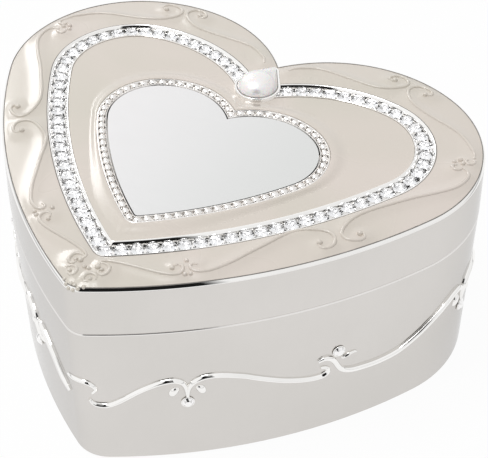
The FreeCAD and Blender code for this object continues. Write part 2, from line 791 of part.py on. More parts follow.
# Steel comb and its screws
comb_tip = comb_root + comb_tooth_length
comb_points = [
    Vector(at_x(comb_left), at_y(comb_back), comb_bed_top),
    Vector(at_x(comb_right), at_y(comb_back), comb_bed_top),
    Vector(at_x(comb_right), comb_root, comb_bed_top),
]
for note in reversed(range(note_count)):
    middle = first_note + note * note_pitch
    for x, y in ((middle + comb_tooth_width / 2, comb_root), (middle + comb_tooth_width / 2, comb_tip),
                 (middle - comb_tooth_width / 2, comb_tip), (middle - comb_tooth_width / 2, comb_root)):
        comb_points.append(Vector(x, y, comb_bed_top))
comb_points.append(Vector(at_x(comb_left), comb_root, comb_bed_top))
comb = Part.Face(Part.makePolygon(comb_points + comb_points[:1])).extrude(Vector(0, 0, comb_thickness))
comb_screw_y = (at_y(comb_back) + comb_root) / 2
comb_screw_places = [
    Vector(at_x(comb_left) + comb_screw_inset, comb_screw_y, 0),
    Vector(at_x(comb_right) - comb_screw_inset, comb_screw_y, 0),
]
comb_top = comb_bed_top + comb_thickness
nodes["comb"] = comb.cut([post(screw_radius + screw_clearance, p.x, p.y, 0, far) for p in comb_screw_places])
comb_screw_tip = comb_bed_top - screw_bite
nodes["comb_screws"] = Part.Compound(
    [screw(p, screw_radius, comb_top, comb_screw_tip) for p in comb_screw_places])
comb_screw_holes = [post(screw_radius, p.x, p.y, comb_screw_tip, far) for p in comb_screw_places]
nodes["bedplate"] = nodes["bedplate"].cut(comb_screw_holes)


# Governor: pinion and worm wheel on one arbor, worm and fly on an upright spindle, and their bracket
ear_right = at_x(ear_left) + bracket_thickness
nodes["governor_arbor"] = rod(governor_arbor_radius, at_x(bracket_left), ear_right, governor_y, governor_z)
pinion_left = at_x(great_wheel_x) - (pinion_width - great_wheel_width) / 2
nodes["governor_pinion"] = gear_on_x(pinion_teeth, train_module, governor_angle + 180 + 180.0 / pinion_teeth,
                                     governor_arbor_radius, pinion_left, pinion_width, governor_y, governor_z)
nodes["worm_wheel"] = gear_on_x(worm_wheel_teeth, train_module, 0.0, governor_arbor_radius,
                                worm_x - worm_wheel_width / 2, worm_wheel_width, governor_y, governor_z)

thread_slope = math.tan(math.radians(pressure_angle))
thread_root = worm_root_radius - weld
root_half = worm_thread_half + (worm_pitch_radius - thread_root) * thread_slope
tip_half = worm_thread_half - (worm_tip_radius - worm_pitch_radius) * thread_slope
thread_section = [
    Vector(thread_root, 0, -root_half), Vector(worm_tip_radius, 0, -tip_half),
    Vector(worm_tip_radius, 0, tip_half), Vector(thread_root, 0, root_half),
]
helix = Part.makeHelix(worm_lead, worm_length, worm_pitch_radius)
thread_outline = Part.makePolygon(thread_section + thread_section[:1])
thread = Part.Wire(helix.Edges).makePipeShell([thread_outline], True, True)
thread.rotate(Vector(0, 0, 0), Vector(0, 0, 1), -90 + 180.0 * ((worm_turns + 1) % 2))
thread.translate(Vector(0, 0, governor_z - worm_length / 2))
spindle = fused([
    post(spindle_radius, 0, 0, bed_top - spindle_pivot_depth, bracket_top_high),
    post(worm_root_radius, 0, 0, governor_z - worm_length / 2 - worm_lead, worm_top + worm_lead / 2),
])
nodes["worm_spindle"] = spindle.fuse(thread).translated(Vector(worm_x, worm_y, 0))
fly = fused([
    post(fly_hub_radius, 0, 0, fly_bottom, fly_top),
    box(-fly_radius, fly_radius, -fly_vane / 2, fly_vane / 2, fly_bottom, fly_top).common(
        post(fly_radius, 0, 0, fly_bottom, fly_top)),
])
nodes["fly"] = fly.cut(post(spindle_radius, 0, 0, 0, seam_z)).translated(Vector(worm_x, worm_y, 0))
bracket_side = box(at_x(bracket_left), at_x(bracket_left) + bracket_thickness, at_y(bracket_front),
                   at_y(bracket_rear), bed_top, bracket_top_high)
bracket_arm = box(at_x(bracket_left), at_x(bracket_arm_right), worm_y - bracket_arm_reach, at_y(bracket_rear),
                  bracket_top_low, bracket_top_high)
bracket_screw_place = Vector(at_x(bracket_left) + foot_margin, at_y(bracket_front) - foot_margin, 0)
bracket_foot = box(at_x(bracket_left), bracket_screw_place.x + foot_margin, bracket_screw_place.y - foot_margin,
                   at_y(bracket_front) + foot_margin, bed_top, foot_top)
bracket_cuts = [
    rod(governor_arbor_radius + running_clearance, at_x(bracket_left) - overrun,
        at_x(bracket_left) + bracket_thickness + overrun, governor_y, governor_z),
    post(spindle_radius + running_clearance, worm_x, worm_y, bracket_top_low - overrun,
         bracket_top_high + overrun),
    post(bed_screw_radius + screw_clearance, bracket_screw_place.x, bracket_screw_place.y, 0, far),
]
nodes["governor_bracket"] = fused([bracket_side, bracket_arm, bracket_foot]).cut(bracket_cuts)
nodes["bracket_screw"] = screw(bracket_screw_place, bed_screw_radius, foot_top, foot_screw_tip)
foot_screw_holes = [post(bed_screw_radius, p.x, p.y, 0, far) for p in (bridge_screw_place, bracket_screw_place)]
nodes["bedplate"] = nodes["bedplate"].cut(foot_screw_holes)


# Stop lever: the lid lining holds its finger down, and its felt then lies close to the fly
finger_top = lining_bottom - finger_below_lining
lever_rear = lever_front + lever_thickness
lever_left = worm_x - lever_width / 2
lever_right = worm_x + lever_width / 2
finger_left = worm_x - finger_width / 2
finger_right = worm_x + finger_width / 2
lever_blade = box(lever_left, lever_right, lever_front, lever_rear, lever_pin_z, fly_top)
lever_finger = box(finger_left, finger_right, lever_front, lever_rear, fly_top, finger_top)
lever_eye = rod(lever_eye_radius, lever_left, lever_right, lever_middle, lever_pin_z)
lever_bore = rod(lever_pin_radius + running_clearance, lever_left - overrun, lever_right + overrun,
                 lever_middle, lever_pin_z)
nodes["stop_lever"] = fused([lever_blade, lever_finger, lever_eye]).cut(lever_bore)
nodes["stop_pad"] = box(lever_left, lever_right, lever_front - pad_thickness, lever_front, fly_bottom, fly_top)
lever_pin_reach = lever_ear_inner + lever_ear_width
nodes["stop_lever_pin"] = rod(lever_pin_radius, worm_x - lever_pin_reach, worm_x + lever_pin_reach,
                              lever_middle, lever_pin_z)


# Clear window over the movement, on the wall's rib and the tray's rear wall
window_blank = wall_solid(wall + window_gap, window_bottom, window_top)
window = window_blank.common(box(-far, far, partition_rear - tray_wall + window_gap, far, 0, far))
finger_swing = (window_top - lever_pin_z) * math.tan(math.radians(lever_swing))
finger_slot = box(finger_left - finger_slot_gap, finger_right + finger_slot_gap,
                  lever_front - finger_slot_gap, lever_rear + finger_swing + finger_slot_gap, 0, far)
nodes["movement_window"] = window.cut(finger_slot)


# Lid shell, with the bed for the name plate
lid_outside = fused([
    loft([outer.wire(seam_chamfer, seam_z), outer.wire(0, seam_z + seam_chamfer)]),
    outer.prism(0, seam_z + seam_chamfer, lid_edge_z - lid_edge_chamfer),
    loft([outer.wire(0, lid_edge_z - lid_edge_chamfer), outer.wire(lid_edge_chamfer, lid_edge_z)]),
])
lid_hollow = [
    outer.prism(wall, seam_z - overrun, lid_plate_bottom),
    outer.prism(wall - lip_width - lip_clearance, seam_z - overrun, seam_z + lip_height + lip_clearance),
    outer.prism(rim_width, lid_plate_top, lid_edge_z + overrun),
]
plate_bed = plate.prism(plate_clearance, lid_plate_top - weld, lid_plate_top + plate_bed_rise)


# Pear-shaped pearl at the cleft, and the collar that holds it
pearl_tip_y = outer.cleft_y(0) - pearl_from_cleft - pearl_tip_radius
pearl_round_y = pearl_tip_y + pearl_tip_radius - pearl_length + pearl_radius
pearl_lean = math.degrees(math.asin((pearl_radius - pearl_tip_radius) / (pearl_tip_y - pearl_round_y)))


def pear_edges(extra):
    """Right-hand edges of the pear's plan, from its round end to its tip, drawn out by extra."""
    round_centre = Vector(0, pearl_round_y, 0)
    tip_centre = Vector(0, pearl_tip_y, 0)
    big = pearl_radius + extra
    small = pearl_tip_radius + extra
    bottom = round_centre + unit(-90) * big
    side_low = round_centre + unit(pearl_lean) * big
    side_high = tip_centre + unit(pearl_lean) * small
    top = tip_centre + unit(90) * small
    return [
        Part.Arc(bottom, round_centre + unit((pearl_lean - 90) / 2) * big, side_low).toShape(),
        Part.makeLine(side_low, side_high),
        Part.Arc(side_high, tip_centre + unit((pearl_lean + 90) / 2) * small, top).toShape(),
    ]


def pear_prism(extra, z0, z1):
    right = pear_edges(extra)
    left = [mirrored(edge) for edge in right]
    wire = Part.Wire(Part.__sortEdges__(right + left))
    return Part.Face(wire).extrude(Vector(0, 0, z1 - z0)).translated(Vector(0, 0, z0))


cup_top = lid_plate_top + cup_height
pearl_seat = lid_plate_top + cup_floor
pear_top = Vector(0, pearl_tip_y + pearl_tip_radius, 0)
pear_axis = Part.makeLine(pear_top, pear_top - Vector(0, pearl_length, 0))
pear_half = Part.Face(Part.Wire(Part.__sortEdges__(pear_edges(0) + [pear_axis])))
pear = pear_half.revolve(Vector(0, 0, 0), Vector(0, 1, 0), 360)
pear = pear.translated(Vector(0, 0, pearl_seat - pearl_cut_above_axis))
nodes["pearl"] = pear.common(box(-far, far, -far, far, pearl_seat, far))
cup_outside = pear_prism(cup_gap + cup_wall, lid_plate_top, cup_top)
nodes["pearl_cup"] = cup_outside.cut(pear_prism(cup_gap, pearl_seat, far))
cup_room = pear_prism(cup_gap + cup_wall, lid_plate_top, far)
nodes["lid_shell"] = lid_outside.cut(lid_hollow).fuse(plate_bed).removeSplitter().cut(cup_room)


# Stone channel, a groove between two rims that stop at the cup and never show below its round end
rim_top = border_top + channel_rim_rise
channel_outside = groove_half_width + channel_wall
channel_body = channel.prism(-channel_outside, lid_plate_top, rim_top).cut([
    channel.prism(channel_outside, lid_plate_top - overrun, far),
    channel.prism(-groove_half_width, lid_plate_top + channel_floor, far).cut(
        channel.prism(groove_half_width, lid_plate_top, far)),
])
under_cup = box(-pearl_radius / 2, pearl_radius / 2, 0, pearl_round_y, 0, far)
nodes["crystal_channel"] = channel_body.cut([cup_room, under_cup])


# Enamel: the sloping border band and the field inside the channel
enamel_edge = lid_edge_z - rim_to_enamel_step
border = fused([
    outer.prism(rim_width, lid_plate_top, enamel_edge),
    loft([outer.wire(rim_width, enamel_edge), channel.wire(-channel_outside, border_top)]),
])
nodes["border_enamel"] = border.cut([channel.prism(-channel_outside, 0, far), cup_room])
field = fused([
    channel.prism(channel_outside, lid_plate_top, border_top),
    loft([channel.wire(channel_outside, border_top), plate.wire(-bead_frame_width, field_top)]),
])
nodes["field_enamel"] = field.cut([plate.prism(-bead_frame_width, 0, far), cup_room])


# Bead frame and name plate
nodes["bead_frame"] = plate.prism(-bead_frame_width, lid_plate_top, lid_plate_top + bead_frame_rise).cut(
    plate.prism(0, 0, far))
plate_low = lid_plate_top + plate_bed_rise
nodes["name_plate"] = plate.prism(plate_clearance, plate_low, plate_low + plate_thickness)


# Stones in the channel
def polygon(radius, z):
    corners = [lifted(unit((side + 0.5) * 360.0 / crystal_sides) * radius, z) for side in range(crystal_sides)]
    return Part.Wire(Part.makePolygon(corners + corners[:1]).Edges)


girdle = crystal_pavilion_height
chaton = fused([
    loft([polygon(crystal_culet_radius, 0), polygon(crystal_radius, girdle)]),
    loft([polygon(crystal_radius, girdle), polygon(crystal_table_radius, girdle + crystal_crown_height)]),
])


def off_the_cup(place):
    """Room between a stone's girdle at this place and the outside of the pearl's cup."""
    rooms = []
    for share in (0.0, 0.25, 0.5, 0.75, 1.0):
        spine = Vector(0, pearl_round_y + (pearl_tip_y - pearl_round_y) * share, 0)
        half_width = pearl_radius + (pearl_tip_radius - pearl_radius) * share
        rooms.append((place - spine).Length - half_width)
    return min(rooms) - cup_gap - cup_wall - crystal_radius


# Each half of the row runs from the tip to the cup, and its stones are spaced evenly over that length
row_end = 0.0
while True:
    place, facing = channel.along(row_end + crystal_row_step)
    if place is None or off_the_cup(place) < crystal_cup_gap:
        break
    row_end += crystal_row_step
stones = []
stone_z = lid_plate_top + channel_floor
half_row_steps = int(row_end / least_crystal_pitch)
for step in range(half_row_steps + 1):
    place, facing = channel.along(row_end * step / half_row_steps)
    stone = chaton.copy()
    stone.rotate(Vector(0, 0, 0), Vector(0, 0, 1), facing)
    stone.translate(lifted(place, stone_z))
    stones.append(stone)
    if step > 0:
        stones.append(mirrored(stone))
nodes["lid_crystals"] = Part.Compound(stones)


# Stones of the garland on the base wall, turned by turn under and over its joints
side_stone = loft([polygon(side_crystal_radius, 0), polygon(side_crystal_table_radius, side_crystal_height)])
side_stones = []
for joint in range(garland_joints):
    height = low_joint_crystal_height if joint % 2 == 0 else high_joint_crystal_height
    place, facing = outer.along(first_garland_joint + joint * garland_step, 0.0)
    foot = place - unit(facing) * (wall_inset(height) - side_crystal_stand_off)
    stone = side_stone.copy()
    stone.Placement = FreeCAD.Placement(lifted(foot, height), Rotation(Vector(0, 0, 1), unit(facing)))
    side_stones.append(stone)
    side_stones.append(mirrored(stone))
nodes["side_crystals"] = Part.Compound(side_stones)


# Lining under the lid plate
nodes["lid_lining"] = outer.prism(wall + lining_gap, lining_bottom, lid_plate_bottom)


# Hinge behind each lobe: three knuckles on a headed pin
def knuckle(x, length, leaf_low, leaf_high):
    barrel = rod(knuckle_radius, x - length / 2, x + length / 2, hinge_y, hinge_z)
    leaf = box(x - length / 2, x + length / 2, hinge_y - 2 * knuckle_radius, hinge_y, leaf_low, leaf_high)
    bore = rod(hinge_pin_radius + hinge_pin_clearance, x - length, x + length, hinge_y, hinge_z)
    return fused([barrel, leaf]).cut(bore)


lid_knuckle_shift = (base_knuckle_length + lid_knuckle_length) / 2 + knuckle_side_gap
base_knuckles = []
lid_knuckles = []
hinge_pins = []
for side in (-1, 1):
    x = side * hinge_x
    low_leaf = knuckle(x, base_knuckle_length, hinge_z - knuckle_radius, hinge_z - leaf_gap)
    base_knuckles.append(low_leaf.cut(base_outside))
    for shift in (-lid_knuckle_shift, lid_knuckle_shift):
        high_leaf = knuckle(x + shift, lid_knuckle_length, hinge_z + leaf_gap, hinge_z + knuckle_radius)
        lid_knuckles.append(high_leaf.cut(lid_outside))
    reach = lid_knuckle_shift + lid_knuckle_length / 2 + knuckle_side_gap
    hinge_pins.append(fused([
        rod(hinge_pin_radius, x - reach, x + reach, hinge_y, hinge_z),
        rod(pin_head_radius, x - reach - pin_head_thickness, x - reach, hinge_y, hinge_z),
        rod(pin_head_radius, x + reach, x + reach + pin_head_thickness, hinge_y, hinge_z),
    ]))
nodes["base_hinge_knuckles"] = Part.Compound(base_knuckles)
nodes["lid_hinge_knuckles"] = Part.Compound(lid_knuckles)
nodes["hinge_pins"] = Part.Compound(hinge_pins)


# Everything moves along Y so that the whole box stands centred on the origin
os.makedirs("parts", exist_ok=True)
for name, shape in nodes.items():
    shape.translated(Vector(0, -frame_shift, 0)).exportStep("parts/" + name + ".step")
    print(name, len(shape.Solids), round(shape.Volume, 3), shape.isValid())


def report(label, x, y, z):
    print(label, round(x, 4), round(y - frame_shift, 4), round(z, 4))


report("lid hinge axis", 0, hinge_y, hinge_z)
report("cylinder axis", 0, axis_y, axis_z)
report("drive wheel axis", crown_place.x, crown_place.y, drive_top)
report("click axis", crown_place.x + click_stud.x, crown_place.y + click_stud.y, ratchet_bottom)
report("governor axis", worm_x, governor_y, governor_z)
report("worm axis", worm_x, worm_y, governor_z)
report("stop lever axis", worm_x, lever_middle, lever_pin_z)
report("tray rear and movement middle", partition_rear - frame_shift, movement_y, finger_top)
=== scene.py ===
import math
import bmesh
import bpy
from mathutils import Matrix, Vector, geometry, kdtree


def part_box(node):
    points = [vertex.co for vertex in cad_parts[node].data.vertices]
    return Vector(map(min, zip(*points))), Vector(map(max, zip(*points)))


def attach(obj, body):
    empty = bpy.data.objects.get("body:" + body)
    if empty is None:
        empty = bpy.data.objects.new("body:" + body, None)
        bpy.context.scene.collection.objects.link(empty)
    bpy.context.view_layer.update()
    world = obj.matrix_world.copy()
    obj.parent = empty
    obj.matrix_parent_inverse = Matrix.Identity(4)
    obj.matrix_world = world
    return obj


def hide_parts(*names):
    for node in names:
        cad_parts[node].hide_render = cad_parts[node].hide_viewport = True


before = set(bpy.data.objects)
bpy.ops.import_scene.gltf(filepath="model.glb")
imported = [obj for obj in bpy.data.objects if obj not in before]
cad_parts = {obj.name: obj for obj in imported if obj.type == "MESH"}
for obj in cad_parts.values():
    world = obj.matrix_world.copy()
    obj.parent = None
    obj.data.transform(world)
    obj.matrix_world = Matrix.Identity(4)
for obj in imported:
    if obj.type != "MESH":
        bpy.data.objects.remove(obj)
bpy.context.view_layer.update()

# Base shell: the heart-shaped wall of the box, pressed from sheet metal and silver plated.
# The plating is bright, with a faint haze and fine marks from handling.
mm = 0.001
silver_bright = (0.715, 0.690, 0.665, 1)
silver_hazy = (0.670, 0.648, 0.620, 1)
haze_per_metre = 35
press_wave_depth = 0.02 * mm


def new_finish(name, settings):
    """A material whose even values are set on the shader's own sockets."""
    finish = bpy.data.materials.new(name)
    finish.use_nodes = True
    shader = finish.node_tree.nodes["Principled BSDF"]
    for socket, value in settings.items():
        shader.inputs[socket].default_value = value
    return finish


def cloud(finish, marks_per_metre, detail=2.0, stretch=(1, 1, 1), swirl=0.0):
    """A noise pattern laid over the piece in its own place."""
    tree = finish.node_tree
    place = tree.nodes.new("ShaderNodeTexCoord")
    laid = tree.nodes.new("ShaderNodeMapping")
    noise = tree.nodes.new("ShaderNodeTexNoise")
    laid.inputs["Scale"].default_value = stretch
    noise.inputs["Scale"].default_value = marks_per_metre
    noise.inputs["Detail"].default_value = detail
    noise.inputs["Distortion"].default_value = swirl
    tree.links.new(place.outputs["Object"], laid.inputs["Vector"])
    tree.links.new(laid.outputs["Vector"], noise.inputs["Vector"])
    return noise.outputs["Fac"]


def tint(finish, pattern, colours, start=0.32, end=0.68):
    """Runs the base colour through the colours as the pattern rises from start to end."""
    tree = finish.node_tree
    ramp = tree.nodes.new("ShaderNodeValToRGB")
    ramp.color_ramp.interpolation = "B_SPLINE"
    stops = ramp.color_ramp.elements
    while len(stops) < len(colours):
        stops.new(0.5)
    for number, colour in enumerate(colours):
        stops[number].position = start + (end - start) * number / (len(colours) - 1)
        stops[number].color = colour
    tree.links.new(pattern, ramp.inputs["Fac"])
    tree.links.new(ramp.outputs["Color"], tree.nodes["Principled BSDF"].inputs["Base Color"])


def polish(finish, pattern, smooth, dull, start=0.32, end=0.68):
    """Runs the roughness from smooth to dull as the pattern rises from start to end."""
    tree = finish.node_tree
    spread = tree.nodes.new("ShaderNodeMapRange")
    for socket, value in zip(("From Min", "From Max", "To Min", "To Max"), (start, end, smooth, dull)):
        spread.inputs[socket].default_value = value
    tree.links.new(pattern, spread.inputs["Value"])
    tree.links.new(spread.outputs["Result"], tree.nodes["Principled BSDF"].inputs["Roughness"])


def emboss(finish, pattern, depth):
    """Lets the pattern stand in fine relief of this depth."""
    tree = finish.node_tree
    bump = tree.nodes.new("ShaderNodeBump")
    bump.inputs["Distance"].default_value = depth
    tree.links.new(pattern, bump.inputs["Height"])
    tree.links.new(bump.outputs["Normal"], tree.nodes["Principled BSDF"].inputs["Normal"])


def dress(finish, *names):
    """Gives CAD nodes this finish in place of the one they came with."""
    for name in names:
        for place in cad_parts[name].material_slots:
            place.material = finish


silver = new_finish("silver_plating", {"Metallic": 1.0, "Specular Tint": (0.82, 0.82, 0.82, 1)})
tint(silver, cloud(silver, haze_per_metre, detail=3), (silver_bright, silver_hazy))
handling_marks = cloud(silver, marks_per_metre=900, detail=4, stretch=(1, 1, 0.2))
polish(silver, handling_marks, smooth=0.09, dull=0.16)
emboss(silver, cloud(silver, marks_per_metre=26), press_wave_depth)
dress(silver, "base_shell")

# Wall garland: raised cords of scrollwork, pressed out with the wall and polished brighter than it.
# They fall and rise between two-petalled flowers and hooked joins, five times on each side.
# The falling cords have two flats along their crests, and the rising ones are round.
garland_radius = 0.66
garland_stand_off = 0.15
garland_step = 0.7
cord_bevel = 50
cord_bevel_reach = 80
cord_flat = 0.8
cord_crease = 50
petal_radius = 1.0
petal_stand_off = -0.3
petal_step = 0.15
petal_end = 0.01
garland_joints = (22.0, 54.4, 89.4, 121.8, 152.4)
swag_reach = 32.4
last_run = 160.0
last_swag_gap = 2
heart_shift = -2.05
outer_heart = (110.2, 93.8, 28.5, 120, 11.2, 62, 5, 0)
sharpest_tip = 0.8
probe_reach = 4


def heading(direction):
    """The angle of a flat direction."""
    return math.atan2(direction.y, direction.x)


def heart_ring(heart, inset, steps):
    """Points round a heart drawn from four arcs a side, from the tip up the right and down the left."""
    width, length, lobe, side, cleft, join_angle, tip, centre_y = heart
    join_angle = math.radians(join_angle)
    join = Vector((math.cos(join_angle), math.sin(join_angle)))
    reach = width / 2 - lobe + lobe * join.x
    inside = (cleft * join.y) ** 2 + 2 * cleft * reach * join.x
    crown = (cleft + reach * join.x - math.sqrt(inside)) / join.x ** 2
    top = centre_y + length / 2
    lobe_centre = Vector((width / 2 - lobe, top - crown * (1 - join.y) - lobe * join.y))
    crown_centre = lobe_centre + join * (lobe - crown)
    tip_centre = Vector((0, centre_y - length / 2 + tip))
    across = lobe_centre - tip_centre
    span = across.length
    along = ((side - tip) ** 2 - (side - lobe) ** 2 + span ** 2) / (2 * span)
    off = math.sqrt((side - tip) ** 2 - along ** 2)
    across.normalize()
    side_centre = tip_centre + across * along + Vector((-across.y, across.x)) * off
    tip = max(tip - inset, sharpest_tip)
    side -= inset
    crown -= inset
    drop = math.sqrt((side - tip) ** 2 - side_centre.x ** 2)
    tip_centre = Vector((0, side_centre.y - drop))
    tip_end = heading(tip_centre - side_centre)
    side_end = heading(lobe_centre - side_centre)
    cleft_end = math.acos(-crown_centre.x / crown)
    arcs = (
        (tip_centre, tip, -math.pi / 2, tip_end),
        (side_centre, side, tip_end, side_end),
        (lobe_centre, lobe - inset, side_end, join_angle),
        (crown_centre, crown, join_angle, cleft_end),
    )
    half = []
    for (centre, radius, start, end), count in zip(arcs, steps):
        for step in range(count):
            angle = start + (end - start) * step / count
            half.append(centre + radius * Vector((math.cos(angle), math.sin(angle))))
    half.append(Vector((0, crown_centre.y + crown * math.sin(cleft_end))))
    half[0].x = 0
    ring = half + [Vector((-point.x, point.y)) for point in half[-2:0:-1]]
    return [Vector((point.x, point.y + heart_shift, 0)) for point in ring]


def runs_along(line):
    """The length of a line up to each of its points."""
    runs = [0.0]
    for before, after in zip(line, line[1:]):
        runs.append(runs[-1] + (after - before).length)
    return runs


def spot_along(line, runs, run):
    """The place at a run along a line, and the way that the line goes there."""
    number = 0
    while number < len(runs) - 2 and runs[number + 1] < run:
        number += 1
    start, end = line[number:number + 2]
    share = (run - runs[number]) / (runs[number + 1] - runs[number])
    return start.lerp(end, share), (end - start).normalized()


wall_line = heart_ring(outer_heart, 0, (12, 80, 80, 60))
wall_line = wall_line[:len(wall_line) // 2 + 1]
wall_runs = runs_along(wall_line)


def wall_spot(run, height, stand_off):
    """The place off the base wall at a run from the tip (left side below zero) and a height."""
    side = 1 if run >= 0 else -1
    point, along = spot_along(wall_line, wall_runs, abs(run))
    outward = Vector((side * along.y, -along.x, 0))
    start = Vector((side * point.x, point.y, height)) + outward * probe_reach
    hit, place, normal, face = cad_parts["base_shell"].ray_cast(start * mm, -outward)
    return place + outward * stand_off * mm, outward


def smooth_run(points, spacing):
    """A smooth line through given points, as points about a spacing apart."""
    knots = [Vector((*point, 0)) if len(point) == 2 else Vector(point) for point in points]
    heads = [knots[1] - knots[0]]
    for before, after in zip(knots, knots[2:]):
        heads.append(after - before)
    heads.append(knots[-1] - knots[-2])
    line = []
    for number, (start, end) in enumerate(zip(knots, knots[1:])):
        reach = (end - start).length / 3
        count = max(2, round((end - start).length / spacing) + 1)
        leave = start + heads[number].normalized() * reach
        arrive = end - heads[number + 1].normalized() * reach
        line.extend(geometry.interpolate_bezier(start, leave, arrive, end, count)[:-1])
    line.append(knots[-1])
    return line


def thickness(count, first, last, taper=6):
    """Shares of the full thickness along a line: it starts at first and ends at last."""
    shares = []
    for number in range(count):
        from_start = min(1, number / taper)
        from_end = min(1, (count - 1 - number) / taper)
        rise = first + (1 - first) * math.sin(from_start * math.pi / 2)
        fall = last + (1 - last) * math.sin(from_end * math.pi / 2)
        shares.append(min(rise, fall))
    return shares


def only(piece):
    """Leaves this piece alone selected and active."""
    bpy.ops.object.select_all(action="DESELECT")
    piece.select_set(True)
    bpy.context.view_layer.objects.active = piece


def tubes(name, lines, radius, fineness=4):
    """One mesh of round tubes, each along a line of places with its shares of thickness."""
    curve = bpy.data.curves.new(name, "CURVE")
    curve.dimensions = "3D"
    curve.bevel_depth = radius * mm
    curve.bevel_resolution = fineness
    curve.use_fill_caps = True
    for places, shares in lines:
        spline = curve.splines.new("POLY")
        spline.points.add(len(places) - 1)
        for point, place, share in zip(spline.points, places, shares):
            point.co = (*place, 1)
            point.radius = share
    piece = bpy.data.objects.new(name, curve)
    bpy.context.collection.objects.link(piece)
    only(piece)
    bpy.ops.object.convert(target="MESH")
    piece = bpy.context.object
    bpy.ops.object.shade_smooth_by_angle(angle=math.radians(cord_crease))
    return piece


def polished(name, settings, colours, tone_marks, gloss_marks, smooth, dull, detail=3):
    """A finish whose colour drifts over one pattern of marks while its gloss follows another."""
    finish = new_finish(name, settings)
    tint(finish, cloud(finish, tone_marks, detail), colours)
    polish(finish, cloud(finish, gloss_marks, detail), smooth, dull)
    return finish


tip_swag = [(1.8, 18.9), (2.3, 18.0), (3.3, 17.4), (5.4, 17.2), (7.7, 18.2), (12.3, 21.4), (15.5, 23.0),
            (17.4, 23.6), (19.4, 23.8), (20.9, 23.0), (21.6, 21.4), (21.8, 19.8), (21.9, 18.6)]
left_tip_swag = [(5.0, 17.0)] + tip_swag[4:]
falling_swag = [(0.1, 18.6), (0.2, 20.2), (0.5, 21.6), (1.4, 22.9), (2.6, 23.6), (4.0, 24.0), (6.8, 23.9),
                (11.6, 22.5), (13.9, 21.4), (19.2, 19.0), (22.9, 17.7), (26.6, 16.9), (29.2, 17.0),
                (30.3, 18.0), (29.6, 19.1), (28.4, 19.5)]
rising_swag = [(-4.2, 21.5), (-3.2, 22.0), (-1.9, 21.7), (-0.9, 20.5), (-0.2, 19.0), (0.7, 17.4), (2.6, 16.2),
               (5.7, 15.7), (9.8, 15.6), (13.9, 16.3), (17.9, 18.3), (22.0, 20.9), (26.4, 23.2), (29.0, 23.9),
               (30.9, 23.3), (31.9, 21.6), (32.2, 19.8), (32.3, 18.6)]
join_leaf = [(0.5, 21.0), (1.0, 20.6), (1.7, 20.8), (2.7, 21.2), (3.7, 21.4), (4.2, 21.1)]
left_petal = [(-3.6, 19.0), (-3.1, 19.9), (-2.6, 20.7), (-1.7, 21.4)]
right_petal = [(-run, height) for run, height in left_petal]
tip_leaf = [(-4.6, 22.6), (-2.6, 23.3), (-0.5, 23.8), (1.6, 23.8), (2.9, 23.0), (3.3, 21.8), (2.6, 20.8)]
garland_lines = []
garland_spots = []


def lay_garland(points, side, shift=0.0, stretch=1.0, fullness=1.0, bevelled=True):
    """Lays one cord of the garland on the wall, bevelled or left round."""
    flat = smooth_run([(run * stretch, height) for run, height in points], garland_step)
    places = []
    shares = [share * fullness for share in thickness(len(flat), first=0.55, last=0.45)]
    for number, (point, share) in enumerate(zip(flat, shares)):
        place, outward = wall_spot(side * min(point.x + shift, last_run), point.y, garland_stand_off)
        heads = flat[min(number + 1, len(flat) - 1)] - flat[max(number - 1, 0)]
        level = Vector((0, 0, 1)).cross(outward) * side
        upward = Vector((0, 0, heads.x)) - level * heads.y
        if upward.z < 0:
            upward.negate()
        places.append(place)
        cord_radius = share * garland_radius * mm
        garland_spots.append((place, outward if bevelled else None, upward.normalized(), cord_radius))
    garland_lines.append((places, shares))


def lay_petal(points, side, shift):
    """Lays one full petal on the wall, round in section and closed at both ends."""
    flat = smooth_run(points, petal_step)
    places = [wall_spot(side * (point.x + shift), point.y, petal_stand_off)[0] for point in flat]
    shares = []
    for number in range(len(places)):
        from_middle = 2 * number / (len(places) - 1) - 1
        shares.append(petal_radius / garland_radius * math.sqrt(max(petal_end, 1 - from_middle ** 2)))
    garland_lines.append((places, shares))
    garland_spots.extend((place, None, None, 0) for place in places)


lay_garland(tip_leaf, 1, fullness=0.8)
lay_garland(tip_swag, 1)
lay_garland(left_tip_swag, -1)
for side in (1, -1):
    for number, joint in enumerate(garland_joints):
        stretch = 1.0
        if number + 1 < len(garland_joints):
            stretch = (garland_joints[number + 1] - joint) / swag_reach
        if number % 2 == 0:
            lay_petal(left_petal, side, joint)
            lay_petal(right_petal, side, joint)
            swag = falling_swag
        else:
            lay_garland(join_leaf, side, joint, fullness=0.75)
            swag = rising_swag
        swag = [point for point in swag if joint + point[0] * stretch < last_run - last_swag_gap]
        lay_garland(swag, side, joint, stretch, bevelled=number % 2 == 0)

bright_silver = polished("polished_silver", {"Metallic": 1.0},
                         ((0.96, 0.95, 0.935, 1), (0.91, 0.90, 0.88, 1)),
                         tone_marks=160, gloss_marks=1400, smooth=0.02, dull=0.06)
garland = tubes("wall_garland", garland_lines, garland_radius, fineness=8)
near_cords = kdtree.KDTree(len(garland_spots))
for number, spot in enumerate(garland_spots):
    near_cords.insert(spot[0], number)
near_cords.balance()
for vertex in garland.data.vertices:
    place, outward, upward, radius = garland_spots[near_cords.find(vertex.co)[1]]
    if outward is None:
        continue
    offset = vertex.co - place
    out_part = offset.dot(outward)
    up_part = offset.dot(upward)
    reach = math.hypot(out_part, up_part)
    lean = abs(math.atan2(up_part, out_part)) - math.radians(cord_bevel)
    if reach > 0 and abs(lean) < math.radians(cord_bevel_reach):
        cut = min(1, cord_flat * radius / math.cos(lean) / reach)
        vertex.co -= (outward * out_part + upward * up_part) * (1 - cut)
garland.data.materials.append(bright_silver)
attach(garland, "base")

